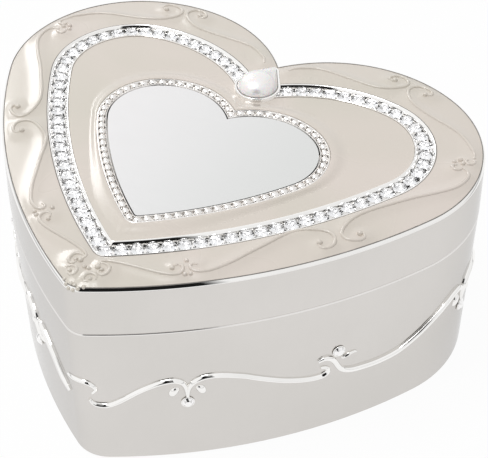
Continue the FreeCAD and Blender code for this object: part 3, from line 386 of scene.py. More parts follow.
# Base edge: the narrow bevel round the mouth of the base that the lid closes on.
# It is part of the base's sheet and is burnished bright after plating.
edge_profile = ((0.4, 37.6), (-0.015, 37.6), (-0.015, 37.815), (0.03, 37.87), (0.09, 37.93), (0.16, 37.985),
                (0.4, 37.985))
rim_steps = (16, 70, 70, 60)
sheet_crease = 40
strip_weld = 0.002


def bent_strip(name, rings, closed=True):
    """A grid bent onto rings of places, its ends merged; closed where its long edges meet too."""
    around = len(rings[0])
    if closed:
        rings = rings + rings[:1]
    bpy.ops.object.select_all(action="DESELECT")
    bpy.ops.mesh.primitive_grid_add(x_subdivisions=around, y_subdivisions=len(rings) - 1, size=1)
    piece = bpy.context.object
    piece.name = name
    places = [ring[number % around] for ring in rings for number in range(around + 1)]
    for vertex, place in zip(piece.data.vertices, places):
        vertex.co = place * mm
    bpy.ops.object.mode_set(mode="EDIT")
    bpy.ops.mesh.select_all(action="SELECT")
    bpy.ops.mesh.remove_doubles(threshold=strip_weld * mm)
    if not closed:
        bpy.ops.mesh.select_all(action="DESELECT")
        bpy.ops.mesh.select_mode(type="EDGE")
        bpy.ops.mesh.select_non_manifold()
        bpy.ops.mesh.fill_holes(sides=0)
        bpy.ops.mesh.select_all(action="SELECT")
    bpy.ops.mesh.normals_make_consistent(inside=False)
    bpy.ops.object.mode_set(mode="OBJECT")
    bpy.ops.object.shade_smooth_by_angle(angle=math.radians(sheet_crease))
    return piece


def at_height(ring, height):
    """A ring lifted to one height."""
    return [Vector((point.x, point.y, height)) for point in ring]


def heart_strip(name, heart, profile, steps, closed=True):
    """A strip round a heart, with its section given as insets and heights."""
    rings = [at_height(heart_ring(heart, inset, steps), height) for inset, height in profile]
    return bent_strip(name, rings, closed)


base_edge = heart_strip("base_edge", outer_heart, edge_profile, rim_steps)
edge_silver = polished("burnished_edge", {"Metallic": 1.0}, ((0.86, 0.84, 0.82, 1), (0.80, 0.78, 0.76, 1)),
                       tone_marks=160, gloss_marks=1400, smooth=0.04, dull=0.1)
base_edge.data.materials.append(edge_silver)
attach(base_edge, "base")

# Wall stones: small brilliants of cut glass, foiled on the back, so each facet shines like a mirror.
# Each is glued in a thin round collar where two cords of the garland meet.
wall_stone_radius = 1.25
wall_stone_stand_off = 0.4
wall_stone_turn = 0.3
low_stone_height = 17.0
high_stone_height = 23.0
collar_thickness = 0.14
collar_gap = 0.06
collar_stand_off = 0.25
stone_facets = 8
culet_share = 0.12
table_rise = 0.9
crown_rises = (0.1, 0.98)
back_rise = -0.05
girdle_band = 0.01 * mm


def joined(name, pieces):
    """Several pieces made one, with its object at the origin."""
    bpy.ops.object.select_all(action="DESELECT")
    for piece in pieces:
        piece.select_set(True)
    bpy.context.view_layer.objects.active = pieces[0]
    if len(pieces) > 1:
        bpy.ops.object.join()
    bpy.ops.object.transform_apply(location=True, rotation=True, scale=True)
    bpy.context.object.name = name
    return bpy.context.object


def cut_brilliant(radius, table, crown, pavilion):
    """One brilliant with its girdle at height zero: a cone for the back, then the crown and its facets."""
    bpy.ops.object.select_all(action="DESELECT")
    bpy.ops.mesh.primitive_cone_add(vertices=stone_facets, radius1=radius * culet_share * mm,
                                    radius2=radius * mm, depth=pavilion * mm,
                                    location=(0, 0, -pavilion / 2 * mm))
    stone = bpy.context.object
    bpy.ops.object.transform_apply(location=True)
    bpy.ops.object.mode_set(mode="EDIT")
    mesh = bmesh.from_edit_mesh(stone.data)
    bpy.ops.mesh.select_all(action="DESELECT")
    for face in mesh.faces:
        face.select_set(face.normal.z > table_rise)
    top = (0, 0, crown * mm)
    bpy.ops.mesh.extrude_region_move(TRANSFORM_OT_translate={"value": top})
    bpy.ops.transform.resize(value=(table / radius, table / radius, 1), center_override=top)
    bpy.ops.transform.rotate(value=math.pi / stone_facets, orient_axis="Z", center_override=top)
    bpy.ops.mesh.select_all(action="DESELECT")
    mesh = bmesh.from_edit_mesh(stone.data)
    for face in mesh.faces:
        face.select_set(crown_rises[0] < face.normal.z < crown_rises[1])
    bpy.ops.mesh.quads_convert_to_tris(quad_method="SHORTEST_DIAGONAL")
    bpy.ops.mesh.select_all(action="DESELECT")
    bpy.ops.mesh.select_mode(type="EDGE")
    mesh = bmesh.from_edit_mesh(stone.data)
    for edge in mesh.edges:
        edge.select_set(all(abs(vertex.co.z) < girdle_band for vertex in edge.verts))
    bpy.ops.mesh.subdivide(number_cuts=1)
    mesh = bmesh.from_edit_mesh(stone.data)
    for vertex in mesh.verts:
        if abs(vertex.co.z) < girdle_band:
            vertex.co *= radius * mm / vertex.co.length
    bpy.ops.mesh.select_mode(type="FACE")
    bpy.ops.mesh.select_all(action="SELECT")
    bpy.ops.mesh.quads_convert_to_tris(quad_method="SHORTEST_DIAGONAL", ngon_method="BEAUTY")
    bpy.ops.mesh.normals_make_consistent(inside=False)
    bpy.ops.object.mode_set(mode="OBJECT")
    for face in stone.data.polygons:
        face.material_index = 1 if face.normal.z < back_rise else 0
    return stone


def set_copies(name, pattern, seats):
    """Copies of one pattern, each with its own mesh moved to its seat, made one piece."""
    pieces = []
    for seat in seats:
        piece = bpy.data.objects.new(name, pattern.data.copy())
        bpy.context.collection.objects.link(piece)
        piece.data.transform(seat)
        pieces.append(piece)
    bpy.data.objects.remove(pattern)
    return joined(name, pieces)


def upright(place, outward):
    """A seat at a place, standing up along the outward way."""
    return Matrix.Translation(place) @ outward.to_track_quat("Z", "Y").to_matrix().to_4x4()


def glaze(stones, crown, back):
    """Glass on the crowns and silvering on the backs, told apart by the pattern stone's slots."""
    stones.data.materials.clear()
    stones.data.materials.append(crown)
    stones.data.materials.append(back)


wall_stone = cut_brilliant(wall_stone_radius, table=0.72, crown=0.5, pavilion=0.3)
bpy.ops.object.select_all(action="DESELECT")
bpy.ops.mesh.primitive_torus_add(major_radius=(wall_stone_radius + collar_gap) * mm,
                                 minor_radius=collar_thickness * mm, major_segments=32, minor_segments=10)
collar = bpy.context.object
bpy.ops.object.shade_smooth()
wall_seats = []
collar_seats = []
for number, joint in enumerate(garland_joints * 2):
    side = 1 if number < len(garland_joints) else -1
    height = low_stone_height if number % len(garland_joints) % 2 == 0 else high_stone_height
    place, outward = wall_spot(side * joint, height, 0)
    seat = upright(place + outward * wall_stone_stand_off * mm, outward)
    wall_seats.append(seat @ Matrix.Rotation(wall_stone_turn * number, 4, "Z"))
    collar_seats.append(upright(place + outward * collar_stand_off * mm, outward))
foil = polished("silvered_back", {"Metallic": 1.0}, ((0.98, 0.98, 0.98, 1), (0.90, 0.905, 0.92, 1)),
                tone_marks=900, gloss_marks=700, smooth=0.12, dull=0.26, detail=2)
foiled_glass = polished("foiled_glass", {"Metallic": 0.9, "Coat Weight": 1.0, "Coat IOR": 1.62},
                        ((1.0, 0.99, 0.985, 1), (0.96, 0.95, 0.945, 1)),
                        tone_marks=500, gloss_marks=800, smooth=0.02, dull=0.06, detail=2)
wall_collars = set_copies("wall_collars", collar, collar_seats)
wall_stones = set_copies("wall_stones", wall_stone, wall_seats)
glaze(wall_stones, foiled_glass, foil)
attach(wall_stones, "base")
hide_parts("side_crystals")
wall_collars.data.materials.append(bright_silver)
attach(wall_collars, "base")

# Bottom plate: brushed sheet steel screwed up into the recess under the base.
# The brush marks run across the plate.


def grained(name, settings, colours, smooth=None, dull=None, relief=None, **marks):
    """A finish whose colour, gloss and relief all follow one pattern of marks."""
    finish = new_finish(name, settings)
    pattern = cloud(finish, **marks)
    tint(finish, pattern, colours)
    if smooth is not None:
        polish(finish, pattern, smooth, dull)
    if relief is not None:
        emboss(finish, pattern, relief * mm)
    return finish


brushed = grained("brushed_sheet", {"Metallic": 1.0}, ((0.56, 0.55, 0.54, 1), (0.42, 0.415, 0.41, 1)),
                  smooth=0.24, dull=0.42, relief=0.01, marks_per_metre=300, detail=4, stretch=(0.15, 6, 1))
dress(brushed, "bottom_plate")

# Screws: turned steel, bright, with fine marks from the lathe.
# They hold the bottom plate, the movement, the comb, the bridge and the governor bracket.
steel = grained("bright_steel", {"Metallic": 1.0}, ((0.60, 0.60, 0.61, 1), (0.47, 0.47, 0.485, 1)),
                smooth=0.16, dull=0.32, relief=0.006, marks_per_metre=700, detail=4, stretch=(1, 3, 1))
dress(steel, "bottom_plate_screws", "movement_screws", "comb_screws", "bridge_screw", "bracket_screw")

# Movement bed: a zinc casting, tumbled to a dull grey, that carries the whole works.
# The movement screws hold it down.
zinc = grained("tumbled_zinc", {"Metallic": 0.9}, ((0.50, 0.50, 0.495, 1), (0.36, 0.36, 0.36, 1)),
               smooth=0.38, dull=0.58, relief=0.03, marks_per_metre=1100, detail=5)
dress(zinc, "bedplate")

# Spring drum, cover, bridges and arbors: pressed and turned steel with fine drawing marks.
# The mainspring is blued by its heat treatment.
dress(steel, "spring_housing", "spring_cover", "cylinder_bridge", "governor_bracket", "stop_lever_pin",
      "winding_arbor", "ratchet_wheel", "click", "click_stud", "cylinder_arbor", "cylinder_pins",
      "governor_arbor", "stop_lever")
blued = grained("blued_spring_steel", {"Metallic": 1.0}, ((0.16, 0.20, 0.34, 1), (0.30, 0.30, 0.36, 1)),
                smooth=0.18, dull=0.30, marks_per_metre=220, detail=3)
dress(blued, "mainspring")

# Comb: hardened steel, its teeth sawn in one plate that is screwed on the bed.
# It is ground along the teeth, so that the grain runs from heel to tip.
ground = grained("ground_comb_steel", {"Metallic": 1.0}, ((0.64, 0.64, 0.65, 1), (0.52, 0.52, 0.54, 1)),
                 smooth=0.14, dull=0.30, relief=0.006, marks_per_metre=500, detail=4, stretch=(8, 0.4, 1))
dress(ground, "comb")

# Cylinder and wheels: brass, turned on the lathe and then cut with their teeth.
# Rings from the lathe show, with a little tarnish.
brass = grained("turned_brass", {"Metallic": 1.0}, ((0.72, 0.53, 0.23, 1), (0.58, 0.41, 0.17, 1)),
                smooth=0.16, dull=0.30, relief=0.006, marks_per_metre=500, detail=3, stretch=(6, 1, 1))
dress(brass, "cylinder_drum", "cylinder_gear", "great_wheel", "drive_wheel", "governor_pinion",
      "worm_spindle")

# Worm wheel and fly: moulded nylon, milky, with a fine satin skin.
# Each is pressed on its own shaft.
nylon = grained("milky_nylon", {"Subsurface Weight": 0.15, "Subsurface Scale": 0.001},
                ((0.76, 0.745, 0.69, 1), (0.70, 0.685, 0.63, 1)),
                smooth=0.38, dull=0.52, relief=0.006, marks_per_metre=1500, detail=3)
dress(nylon, "worm_wheel", "fly")

# Winding key: a butterfly key stamped from sheet and nickel plated.
# It is screwed on the arbor under the bottom plate.
nickel = grained("nickel_plating", {"Metallic": 1.0}, ((0.70, 0.68, 0.64, 1), (0.60, 0.58, 0.545, 1)),
                 smooth=0.10, dull=0.20, marks_per_metre=240, detail=3)
dress(nickel, "winding_key")

# Stop pad: a small square of red felt, glued on the stop lever, that brakes the fly.
# It is cut from sheet felt, so its edges stay fairly square, with only a small rounding.
felt_share = 0.98
felt_rounding = 0.22
pad_low, pad_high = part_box("stop_pad")
pad_size = pad_high - pad_low
bpy.ops.object.select_all(action="DESELECT")
bpy.ops.mesh.primitive_cube_add(size=1, location=(pad_low + pad_high) / 2, scale=pad_size * felt_share)
stop_felt = bpy.context.object
stop_felt.name = "stop_felt"
bpy.ops.object.transform_apply(location=True, rotation=True, scale=True)
bpy.ops.object.mode_set(mode="EDIT")
bpy.ops.mesh.select_all(action="SELECT")
bpy.ops.mesh.bevel(offset=min(pad_size) * felt_rounding, segments=3, affect="EDGES")
bpy.ops.mesh.subdivide(number_cuts=2)
bpy.ops.object.mode_set(mode="OBJECT")
bpy.ops.object.shade_smooth()
felt = grained("red_felt", {"Sheen Weight": 0.5, "Sheen Roughness": 0.5, "Roughness": 0.95},
               ((0.26, 0.03, 0.035, 1), (0.15, 0.015, 0.02, 1)),
               relief=0.08, marks_per_metre=2600, detail=5, swirl=1.5)
stop_felt.data.materials.append(felt)
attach(stop_felt, "stop_lever")
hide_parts("stop_pad")

# Movement window: a clear acrylic sheet, cut to shape, with a few fine marks.
# It lies on ribs of the tray over the works.
clear = grained("clear_acrylic", {"Transmission Weight": 1.0, "IOR": 1.49},
                ((0.98, 0.985, 0.985, 1), (0.95, 0.96, 0.96, 1)),
                smooth=0.0, dull=0.04, marks_per_metre=900, detail=3)
dress(clear, "movement_window")

# Tray: a moulded trinket tray flocked with ivory velvet, which is dropped in the base.
# The flock rounds every edge and shows a short, slightly brushed nap.
flock_rounding = 0.4
flock_depth = 0.12
tray_edge_angle = 35
flat_enough = 2
node_weld = 0.005


def merged_copy(node):
    """A copy of a CAD node with its loose triangles merged, selected in edit mode."""
    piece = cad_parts[node].copy()
    piece.data = piece.data.copy()
    piece.parent = None
    bpy.context.collection.objects.link(piece)
    only(piece)
    bpy.ops.object.mode_set(mode="EDIT")
    bpy.ops.mesh.select_all(action="SELECT")
    bpy.ops.mesh.remove_doubles(threshold=node_weld * mm)
    return piece


tray = merged_copy("flocked_tray")
tray.name = "velvet_tray"
bpy.ops.mesh.dissolve_limited(angle_limit=math.radians(flat_enough))
bpy.ops.object.mode_set(mode="OBJECT")
rounding = tray.modifiers.new("rounding", "BEVEL")
rounding.width = flock_rounding * mm
rounding.segments = 3
rounding.limit_method = "ANGLE"
rounding.angle_limit = math.radians(tray_edge_angle)
bpy.ops.object.modifier_apply(modifier="rounding")
bpy.ops.object.shade_smooth_by_angle(angle=math.radians(sheet_crease))
velvet = new_finish("ivory_flock", {"Sheen Weight": 0.6, "Sheen Roughness": 0.35,
                                    "Sheen Tint": (1, 0.97, 0.92, 1), "Roughness": 0.95})
nap = cloud(velvet, marks_per_metre=120, detail=6, swirl=0.8)
tint(velvet, nap, ((0.66, 0.585, 0.50, 1), (0.74, 0.68, 0.60, 1)))
emboss(velvet, cloud(velvet, marks_per_metre=3500), flock_depth * mm)
tray.data.materials.clear()
tray.data.materials.append(velvet)
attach(tray, "base")
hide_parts("flocked_tray")

# Hinge: knuckles rolled on the base and the lid, and plated with them.
# They turn on two plated pins behind the heart's lobes.
dress(silver, "base_hinge_knuckles", "lid_hinge_knuckles", "hinge_pins")

# Lid shell: the heart-shaped lid, pressed from the same sheet as the base and plated as it is.
# Its skirt is straight and closes on the edge of the base.
dress(silver, "lid_shell")

# Lid pad: a card covered with velvet and glued inside the lid.
# The velvet rolls over the card's edge and swells softly towards the middle.
pad_edge = 3.15
pad_profile = ((5.0, 47.58), (pad_edge + 0.25, 47.55), (pad_edge, 47.3), (pad_edge + 0.2, 47.02),
               (pad_edge + 0.8, 46.84), (pad_edge + 1.6, 46.74), (pad_edge + 2.8, 46.66),
               (pad_edge + 4.2, 46.62))
pad_steps = (8, 40, 40, 30)
lid_pad = heart_strip("lid_pad", outer_heart, pad_profile, pad_steps, closed=False)
lid_pad.data.materials.append(velvet)
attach(lid_pad, "lid")
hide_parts("lid_lining")

# Lid roll: the softened bevel between the lid's skirt and the enamel.
# It is pressed with the lid and burnished bright after plating.
roll_profile = ((0.52, 49.5), (-0.02, 49.5), (-0.01, 49.58), (0.04, 49.68), (0.40, 50.08),
                (0.46, 50.14), (0.5, 50.19), (0.52, 50.2))
lid_roll = heart_strip("lid_roll", outer_heart, roll_profile, rim_steps)
lid_roll.data.materials.append(bright_silver)
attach(lid_roll, "lid")

# Pearl cup: a teardrop collar of plated sheet, soldered on the lid plate at the heart's cleft.
# Its rim is rounded and slopes down a little from the round end to the tip.
lid_floor = 49.02
cup_floor = 49.85
cup_round = Vector((0, 23.65, 0))
cup_tip = Vector((0, 31.0, 0))
cup_round_radius = 5.05
cup_tip_radius = 1.2
cup_wall = 0.55
cup_round_rim = 51.35
cup_tip_rim = 50.75
cup_rim_profile = ((0, 0.12), (0.08, 0.02), (0.2, 0))
cup_span = (cup_tip - cup_round).length
cup_steps = 96


def pear_spot(normal, round_radius, tip_radius):
    """The place on a pear that faces this way: a ball at its round end, a small one at its tip."""
    if normal.y < (round_radius - tip_radius) / cup_span:
        return cup_round + normal * round_radius
    return cup_tip + normal * tip_radius


def pear_ring(inset, drop=None, height=None):
    """A ring round the cup, at a drop below its sloping rim or at one height."""
    ring = []
    for step in range(cup_steps):
        angle = math.tau * step / cup_steps
        facing = Vector((math.cos(angle), math.sin(angle), 0))
        spot = pear_spot(facing, cup_round_radius - inset, cup_tip_radius - inset)
        share = max(0, min(1, (spot.y - cup_round.y) / cup_span))
        rim = cup_round_rim + (cup_tip_rim - cup_round_rim) * share
        ring.append(Vector((spot.x, spot.y, rim - drop if height is None else height)))
    return ring


cup_rings = [pear_ring(0, height=lid_floor)]
cup_rings += [pear_ring(inset, drop=drop) for inset, drop in cup_rim_profile]
cup_rings += [pear_ring(cup_wall - inset, drop=drop) for inset, drop in reversed(cup_rim_profile)]
cup_rings.append(pear_ring(cup_wall, height=cup_floor))
cup = bent_strip("teardrop_cup", cup_rings, closed=False)
cup.data.materials.append(bright_silver)
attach(cup, "lid")
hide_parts("pearl_cup")

# Stone channel: a bright U-shaped channel with two bevelled rims, soldered on the lid plate.
# It runs round the lid as a heart and stops at the pearl's cup, where room is cut out for the cup.
channel_heart = (85.8, 68.4, 16, 119, 10.6, 80, 0.8, -0.6)
channel_half = 2.3
channel_steps = (10, 90, 70, 60)
channel_profile = ((-channel_half, lid_floor), (-channel_half, 50.5), (-2.25, 50.7), (-2.14, 50.8),
                   (-2.0, 50.8), (-1.92, 50.74), (-1.58, 50.34), (-1.56, 50.3), (-1.56, 49.5), (1.56, 49.5),
                   (1.56, 50.2), (1.58, 50.24), (1.78, 50.5), (1.81, 50.54), (2.04, 50.73), (2.1, 50.78),
                   (2.17, 50.8), (2.25, 50.74), (channel_half, 50.5), (channel_half, lid_floor))
cleft_half = 1.4
cup_room_clearance = 0.02
cup_room_floor = 48.5
cup_room_height = 4
bpy.ops.object.select_all(action="DESELECT")
bpy.ops.mesh.primitive_circle_add(vertices=cup_steps, radius=1, fill_type="NGON")
cup_room = bpy.context.object
for vertex in cup_room.data.vertices:
    spot = pear_spot(vertex.co.normalized(), cup_round_radius + cup_room_clearance,
                     cup_tip_radius + cup_room_clearance)
    vertex.co = Vector((spot.x, spot.y, cup_room_floor)) * mm
bpy.ops.object.mode_set(mode="EDIT")
bpy.ops.mesh.select_all(action="SELECT")
bpy.ops.mesh.extrude_region_move(TRANSFORM_OT_translate={"value": (0, 0, cup_room_height * mm)})
bpy.ops.mesh.select_all(action="SELECT")
bpy.ops.mesh.normals_make_consistent(inside=False)
bpy.ops.object.mode_set(mode="OBJECT")


def make_room(piece):
    """Cuts the cup's room out of a piece."""
    only(piece)
    cut = piece.modifiers.new("cup_room", "BOOLEAN")
    cut.operation = "DIFFERENCE"
    cut.solver = "EXACT"
    cut.object = cup_room
    bpy.ops.object.modifier_apply(modifier="cup_room")
    bpy.ops.object.shade_smooth_by_angle(angle=math.radians(sheet_crease))


channel = heart_strip("stone_channel", channel_heart, channel_profile, channel_steps)
make_room(channel)
# A scrap of the inner rim is left in the cleft below the cup, and is taken out.
bpy.ops.object.mode_set(mode="EDIT")
bpy.ops.mesh.select_all(action="DESELECT")
bpy.ops.object.mode_set(mode="OBJECT")
for vertex in channel.data.vertices:
    vertex.select = abs(vertex.co.x) < cleft_half * mm and 0 < vertex.co.y < cup_round.y * mm
bpy.ops.object.mode_set(mode="EDIT")
bpy.ops.mesh.delete(type="VERT")
bpy.ops.object.mode_set(mode="OBJECT")
channel.data.materials.append(bright_silver)
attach(channel, "lid")
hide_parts("crystal_channel")

# Lid stones: round brilliants of clear cut glass with silvered backs.
# Each is seated in the channel against its neighbours.
lid_stone_radius = 1.54
lid_stone_girdle = 50.32
lid_stone_turn = 1.7


def stone_places(node):
    """The middle of each stone of a CAD node, from a copy that is taken apart."""
    merged_copy(node)
    bpy.ops.mesh.separate(type="LOOSE")
    bpy.ops.object.mode_set(mode="OBJECT")
    places = []
    for stone in bpy.context.selected_objects:
        corners = [vertex.co for vertex in stone.data.vertices]
        low = Vector([min(corner[axis] for corner in corners) for axis in range(3)])
        high = Vector([max(corner[axis] for corner in corners) for axis in range(3)])
        places.append((low + high) / 2)
    bpy.ops.object.delete()
    return places


lid_stone = cut_brilliant(lid_stone_radius, table=0.86, crown=0.5, pavilion=0.8)
lid_seats = []
for number, middle in enumerate(stone_places("lid_crystals")):
    seat = upright(Vector((middle.x, middle.y, lid_stone_girdle * mm)), Vector((0, 0, 1)))
    lid_seats.append(seat @ Matrix.Rotation(lid_stone_turn * number, 4, "Z"))
glass = polished("cut_glass", {"Transmission Weight": 1.0, "IOR": 1.62},
                 ((0.97, 0.97, 0.98, 1), (0.93, 0.94, 0.96, 1)),
                 tone_marks=500, gloss_marks=800, smooth=0.0, dull=0.02, detail=2)
lid_stones = set_copies("lid_stones", lid_stone, lid_seats)
glaze(lid_stones, glass, foil)
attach(lid_stones, "lid")
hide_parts("lid_crystals")

# Enamel border: pearly ivory enamel poured between the rolled edge and the channel.
# It swells softly under the scrolls, and its gloss is clear and deep.
border_foot_inset = 0.92
border_inset = 0.5
border_edge = 50.24
rim_cover = 50.205
border_top = 50.72
shoulder_rise = 0.5
shoulder_reach = 1.7
shoulder_fade = 8
border_steps = (10, 110, 90, 80)
border_bands = 20
scroll_step = 0.6
curl_step = 24
curl_least = 6


def curl(centre, start_radius, end_radius, start_angle, turn):
    """Points of a small spiral, its angles in degrees, that closes in from one radius to the other."""
    count = max(curl_least, round(abs(turn) / curl_step))
    points = []
    for step in range(count + 1):
        share = step / count
        angle = math.radians(start_angle + turn * share)
        radius = start_radius + (end_radius - start_radius) * share
        points.append((centre[0] + radius * math.cos(angle), centre[1] + radius * math.sin(angle)))
    return points


scrolls = [
    [(3.1, 32.3), (3.9, 33.6), (5.8, 35.0), (9.0, 36.3), (16.6, 36.3), (22.1, 36.3), (25.3, 37.4),
     (27.8, 39.6), (28.1, 41.2), (27.0, 42.6), (25.3, 42.8), (23.9, 41.9), (23.7, 40.7), (24.8, 40.4)],
    [(33.2, 39.3), (34.3, 39.8), (34.0, 41.0), (32.4, 41.7), (30.2, 41.2), (29.2, 39.6), (29.7, 37.7),
     (31.3, 35.8), (32.9, 34.7), (36.1, 33.3), (39.4, 32.3), (42.6, 31.5), (46.0, 30.1), (48.7, 28.0),
     (50.6, 26.1), (51.4, 24.4)],
    [(50.3, 20.5), (52.2, 19.6), (52.7, 17.4), (51.9, 14.2), (49.2, 10.4), (45.9, 6.6), (42.6, 2.3),
     (39.9, -1.5), (38.3, -4.7), (37.8, -8.0), (38.3, -10.3), (39.9, -11.0), (41.8, -10.1), (42.6, -9.0),
     (42.1, -8.0), (41.2, -8.2)],
    [(35.8, -14.7), (36.5, -15.7), (37.8, -15.0), (38.3, -13.4), (37.4, -11.7), (35.6, -11.1), (32.8, -12.1),
     (30.1, -13.9), (28.5, -16.6), (26.9, -20.4), (25.2, -24.2), (23.6, -27.9), (21.6, -31.3), (20.0, -33.0),
     (18.3, -33.7), (17.2, -33.2), (17.4, -32.3), (18.2, -32.0)],
    [(2.0, -41.9), (1.7, -40.8), (3.0, -39.8), (6.2, -38.9), (9.3, -38.3), (11.4, -37.9), (13.6, -37.4),
     (15.4, -36.7), (16.5, -35.7), (16.5, -34.6), (15.8, -33.8), (14.9, -33.9), (14.5, -34.7)],
    [(1.7, -41.2), (2.6, -40.8), (4.0, -41.2), (4.4, -42.6), (3.8, -43.7), (2.8, -43.6), (2.6, -42.8)],
    [(3.5, -45.2), (3.0, -44.4), (2.0, -44.2), (1.2, -44.8), (1.0, -45.8), (1.6, -46.6), (2.3, -46.3)],
    curl((50.8, 23.1), start_radius=1.3, end_radius=0.5, start_angle=60, turn=-280),
    curl((49.2, 20.1), start_radius=1.3, end_radius=0.5, start_angle=20, turn=-280),
]
scroll_paths = []
for points in scrolls:
    path = smooth_run(points, scroll_step)
    scroll_paths.append(path)
    scroll_paths.append([Vector((-point.x, point.y, 0)) for point in path])
near_scrolls = kdtree.KDTree(sum(len(path) for path in scroll_paths))
for number, point in enumerate(point for path in scroll_paths for point in path):
    near_scrolls.insert(point, number)
near_scrolls.balance()
border_foot = heart_ring(outer_heart, border_foot_inset, border_steps)
border_outside = heart_ring(outer_heart, border_inset, border_steps)
border_inside = heart_ring(channel_heart, -channel_half, border_steps)


def border_height(point, share):
    """Height of the enamel at a point, a share of the way from the edge to the channel."""
    away = near_scrolls.find(Vector((point.x, point.y, 0)))[2]
    swell = shoulder_rise * math.exp(-(away / shoulder_reach) ** 2)
    fade = min(1, share * shoulder_fade, (1 - share) * shoulder_fade)
    return border_edge + (border_top - border_edge) * math.sin(share * math.pi / 2) + swell * fade


border_rings = [at_height(border_foot, lid_floor), at_height(border_foot, rim_cover),
                at_height(border_outside, rim_cover)]
for band in range(border_bands + 1):
    share = band / border_bands
    ring = []
    for outside, inside in zip(border_outside, border_inside):
        point = outside.lerp(inside, share)
        ring.append(Vector((point.x, point.y, border_height(point, share))))
    border_rings.append(ring)
border_rings.append(at_height(border_inside, lid_floor))
border = bent_strip("enamel_border", border_rings)
make_room(border)
enamel = new_finish("pearl_enamel", {"Coat Weight": 1.0, "Coat Roughness": 0.2, "Coat IOR": 1.5})
pearl_swirl = cloud(enamel, marks_per_metre=30, swirl=0.7)
tint(enamel, pearl_swirl, ((0.775, 0.690, 0.632, 1), (0.705, 0.643, 0.570, 1), (0.655, 0.618, 0.533, 1)),
     start=0.25, end=0.75)
polish(enamel, pearl_swirl, smooth=0.24, dull=0.36)
border.data.materials.append(enamel)
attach(border, "lid")
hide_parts("border_enamel")

# Border scrolls: fine raised lines in the enamel border, with ball ends and small flowers.
# They are drawn once for the right half of the heart and mirrored, and the same enamel covers them.
scroll_radius = 0.4
scroll_sink = 0.06
probe_height = 60
scroll_balls = [(25.0, 40.9, 0.6), (33.1, 39.3, 0.6), (41.3, -8.3, 0.6), (35.7, -14.7, 0.6),
                (49.0, 22.7, 0.55), (48.2, 21.4, 0.5), (50.0, 21.7, 0.5), (15.8, -32.1, 0.5),
                (17.4, -35.4, 0.5), (18.3, -34.7, 0.45), (14.5, -35.3, 0.5), (2.0, -42.3, 0.6),
                (3.0, -42.5, 0.45), (0.5, -43.3, 0.5), (2.4, -45.6, 0.45)]
edge_balls = [(0.4, -48.0, 50.2, 0.5), (1.3, -48.3, 49.95, 0.5), (0.5, -48.8, 49.6, 0.45),
              (2.2, -47.6, 50.2, 0.45)]


def on_border(x, y):
    """The place on the enamel at a point, or None where there is none."""
    hit, place, normal, face = border.ray_cast(Vector((x, y, probe_height)) * mm, Vector((0, 0, -1)))
    return place if hit else None


scroll_lines = []
for path in scroll_paths:
    places = [on_border(point.x, point.y) for point in path]
    places = [place - Vector((0, 0, scroll_sink * mm)) for place in places if place is not None]
    scroll_lines.append((places, thickness(len(places), first=0.5, last=0.6)))
scroll_cords = tubes("scroll_lines", scroll_lines, scroll_radius)
bpy.ops.object.select_all(action="DESELECT")
bpy.ops.mesh.primitive_uv_sphere_add(segments=14, ring_count=8, radius=1)
ball = bpy.context.object
bpy.ops.object.shade_smooth()
ball_seats = []
for x, y, radius in scroll_balls:
    for side in (1, -1):
        ball_seats.append(Matrix.Translation(on_border(side * x, y)) @ Matrix.Scale(radius * mm, 4))
for x, y, z, radius in edge_balls:
    for side in (1, -1):
        ball_seats.append(Matrix.Translation(Vector((side * x, y, z)) * mm) @ Matrix.Scale(radius * mm, 4))
balls = set_copies("scroll_balls", ball, ball_seats)
border_scrolls = joined("border_scrolls", [scroll_cords, balls])
border_scrolls.data.materials.append(enamel)
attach(border_scrolls, "lid")

# Enamel field: the same enamel, poured in the heart inside the channel.
# It lies level and rises to the beaded frame.
plate_heart = (48.8, 41.7, 11.1, 87, 5, 59.5, 0.8, -3.0)
frame_width = 2.2
field_low = 50.5
field_high = 51.12
field_bands = 26
climb_starts = 3.7
climb_ends = 0.6
cleft_fill = 19.8
field_outside = heart_ring(channel_heart, channel_half, border_steps)
for point in field_outside:
    if abs(point.x) < cleft_half and point.y > 0:
        point.y = max(point.y, cleft_fill)
field_inside = heart_ring(plate_heart, -frame_width, border_steps)
field_rings = [at_height(field_outside, lid_floor)]
for band in range(field_bands + 1):
    share = band / field_bands
    ring = []
    for outside, inside in zip(field_outside, field_inside):
        point = outside.lerp(inside, share)
        away = (point - inside).length
        climb = max(0, min(1, (climb_starts - away) / (climb_starts - climb_ends)))
        height = field_low + (field_high - field_low) * climb * climb * (3 - 2 * climb)
        ring.append(Vector((point.x, point.y, height)))
    field_rings.append(ring)
field_rings.append(at_height(field_inside, lid_floor))
field = bent_strip("enamel_field", field_rings)
make_room(field)
field.data.materials.append(enamel)
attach(field, "lid")
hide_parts("field_enamel")

# Painted edge shade: thin dark tubes where enamel meets metal, painted shade for the shadow
# in the small groove along the rolled edge and on both sides of the channel.
edge_line_radius = 0.09
edge_lines = []
for ring, height, share in ((border_outside, border_edge, 1.3), (border_inside, border_top, 0.6),
                            (field_outside, field_low, 0.6)):
    places = [place * mm for place in at_height(ring + ring[:1], height)]
    edge_lines.append((places, [share] * len(places)))
painted_edge_shade = tubes("painted_edge_shade", edge_lines, edge_line_radius)
make_room(painted_edge_shade)
bpy.data.objects.remove(cup_room)
# Painted shade: a dark grey-brown for the shadow in the grooves, also used round the pearl.
gap_shade = grained("painted_gap_shade", {"Roughness": 0.5}, ((0.17, 0.155, 0.14, 1), (0.30, 0.28, 0.26, 1)),
              marks_per_metre=400, detail=3)
painted_edge_shade.data.materials.append(gap_shade)
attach(painted_edge_shade, "lid")

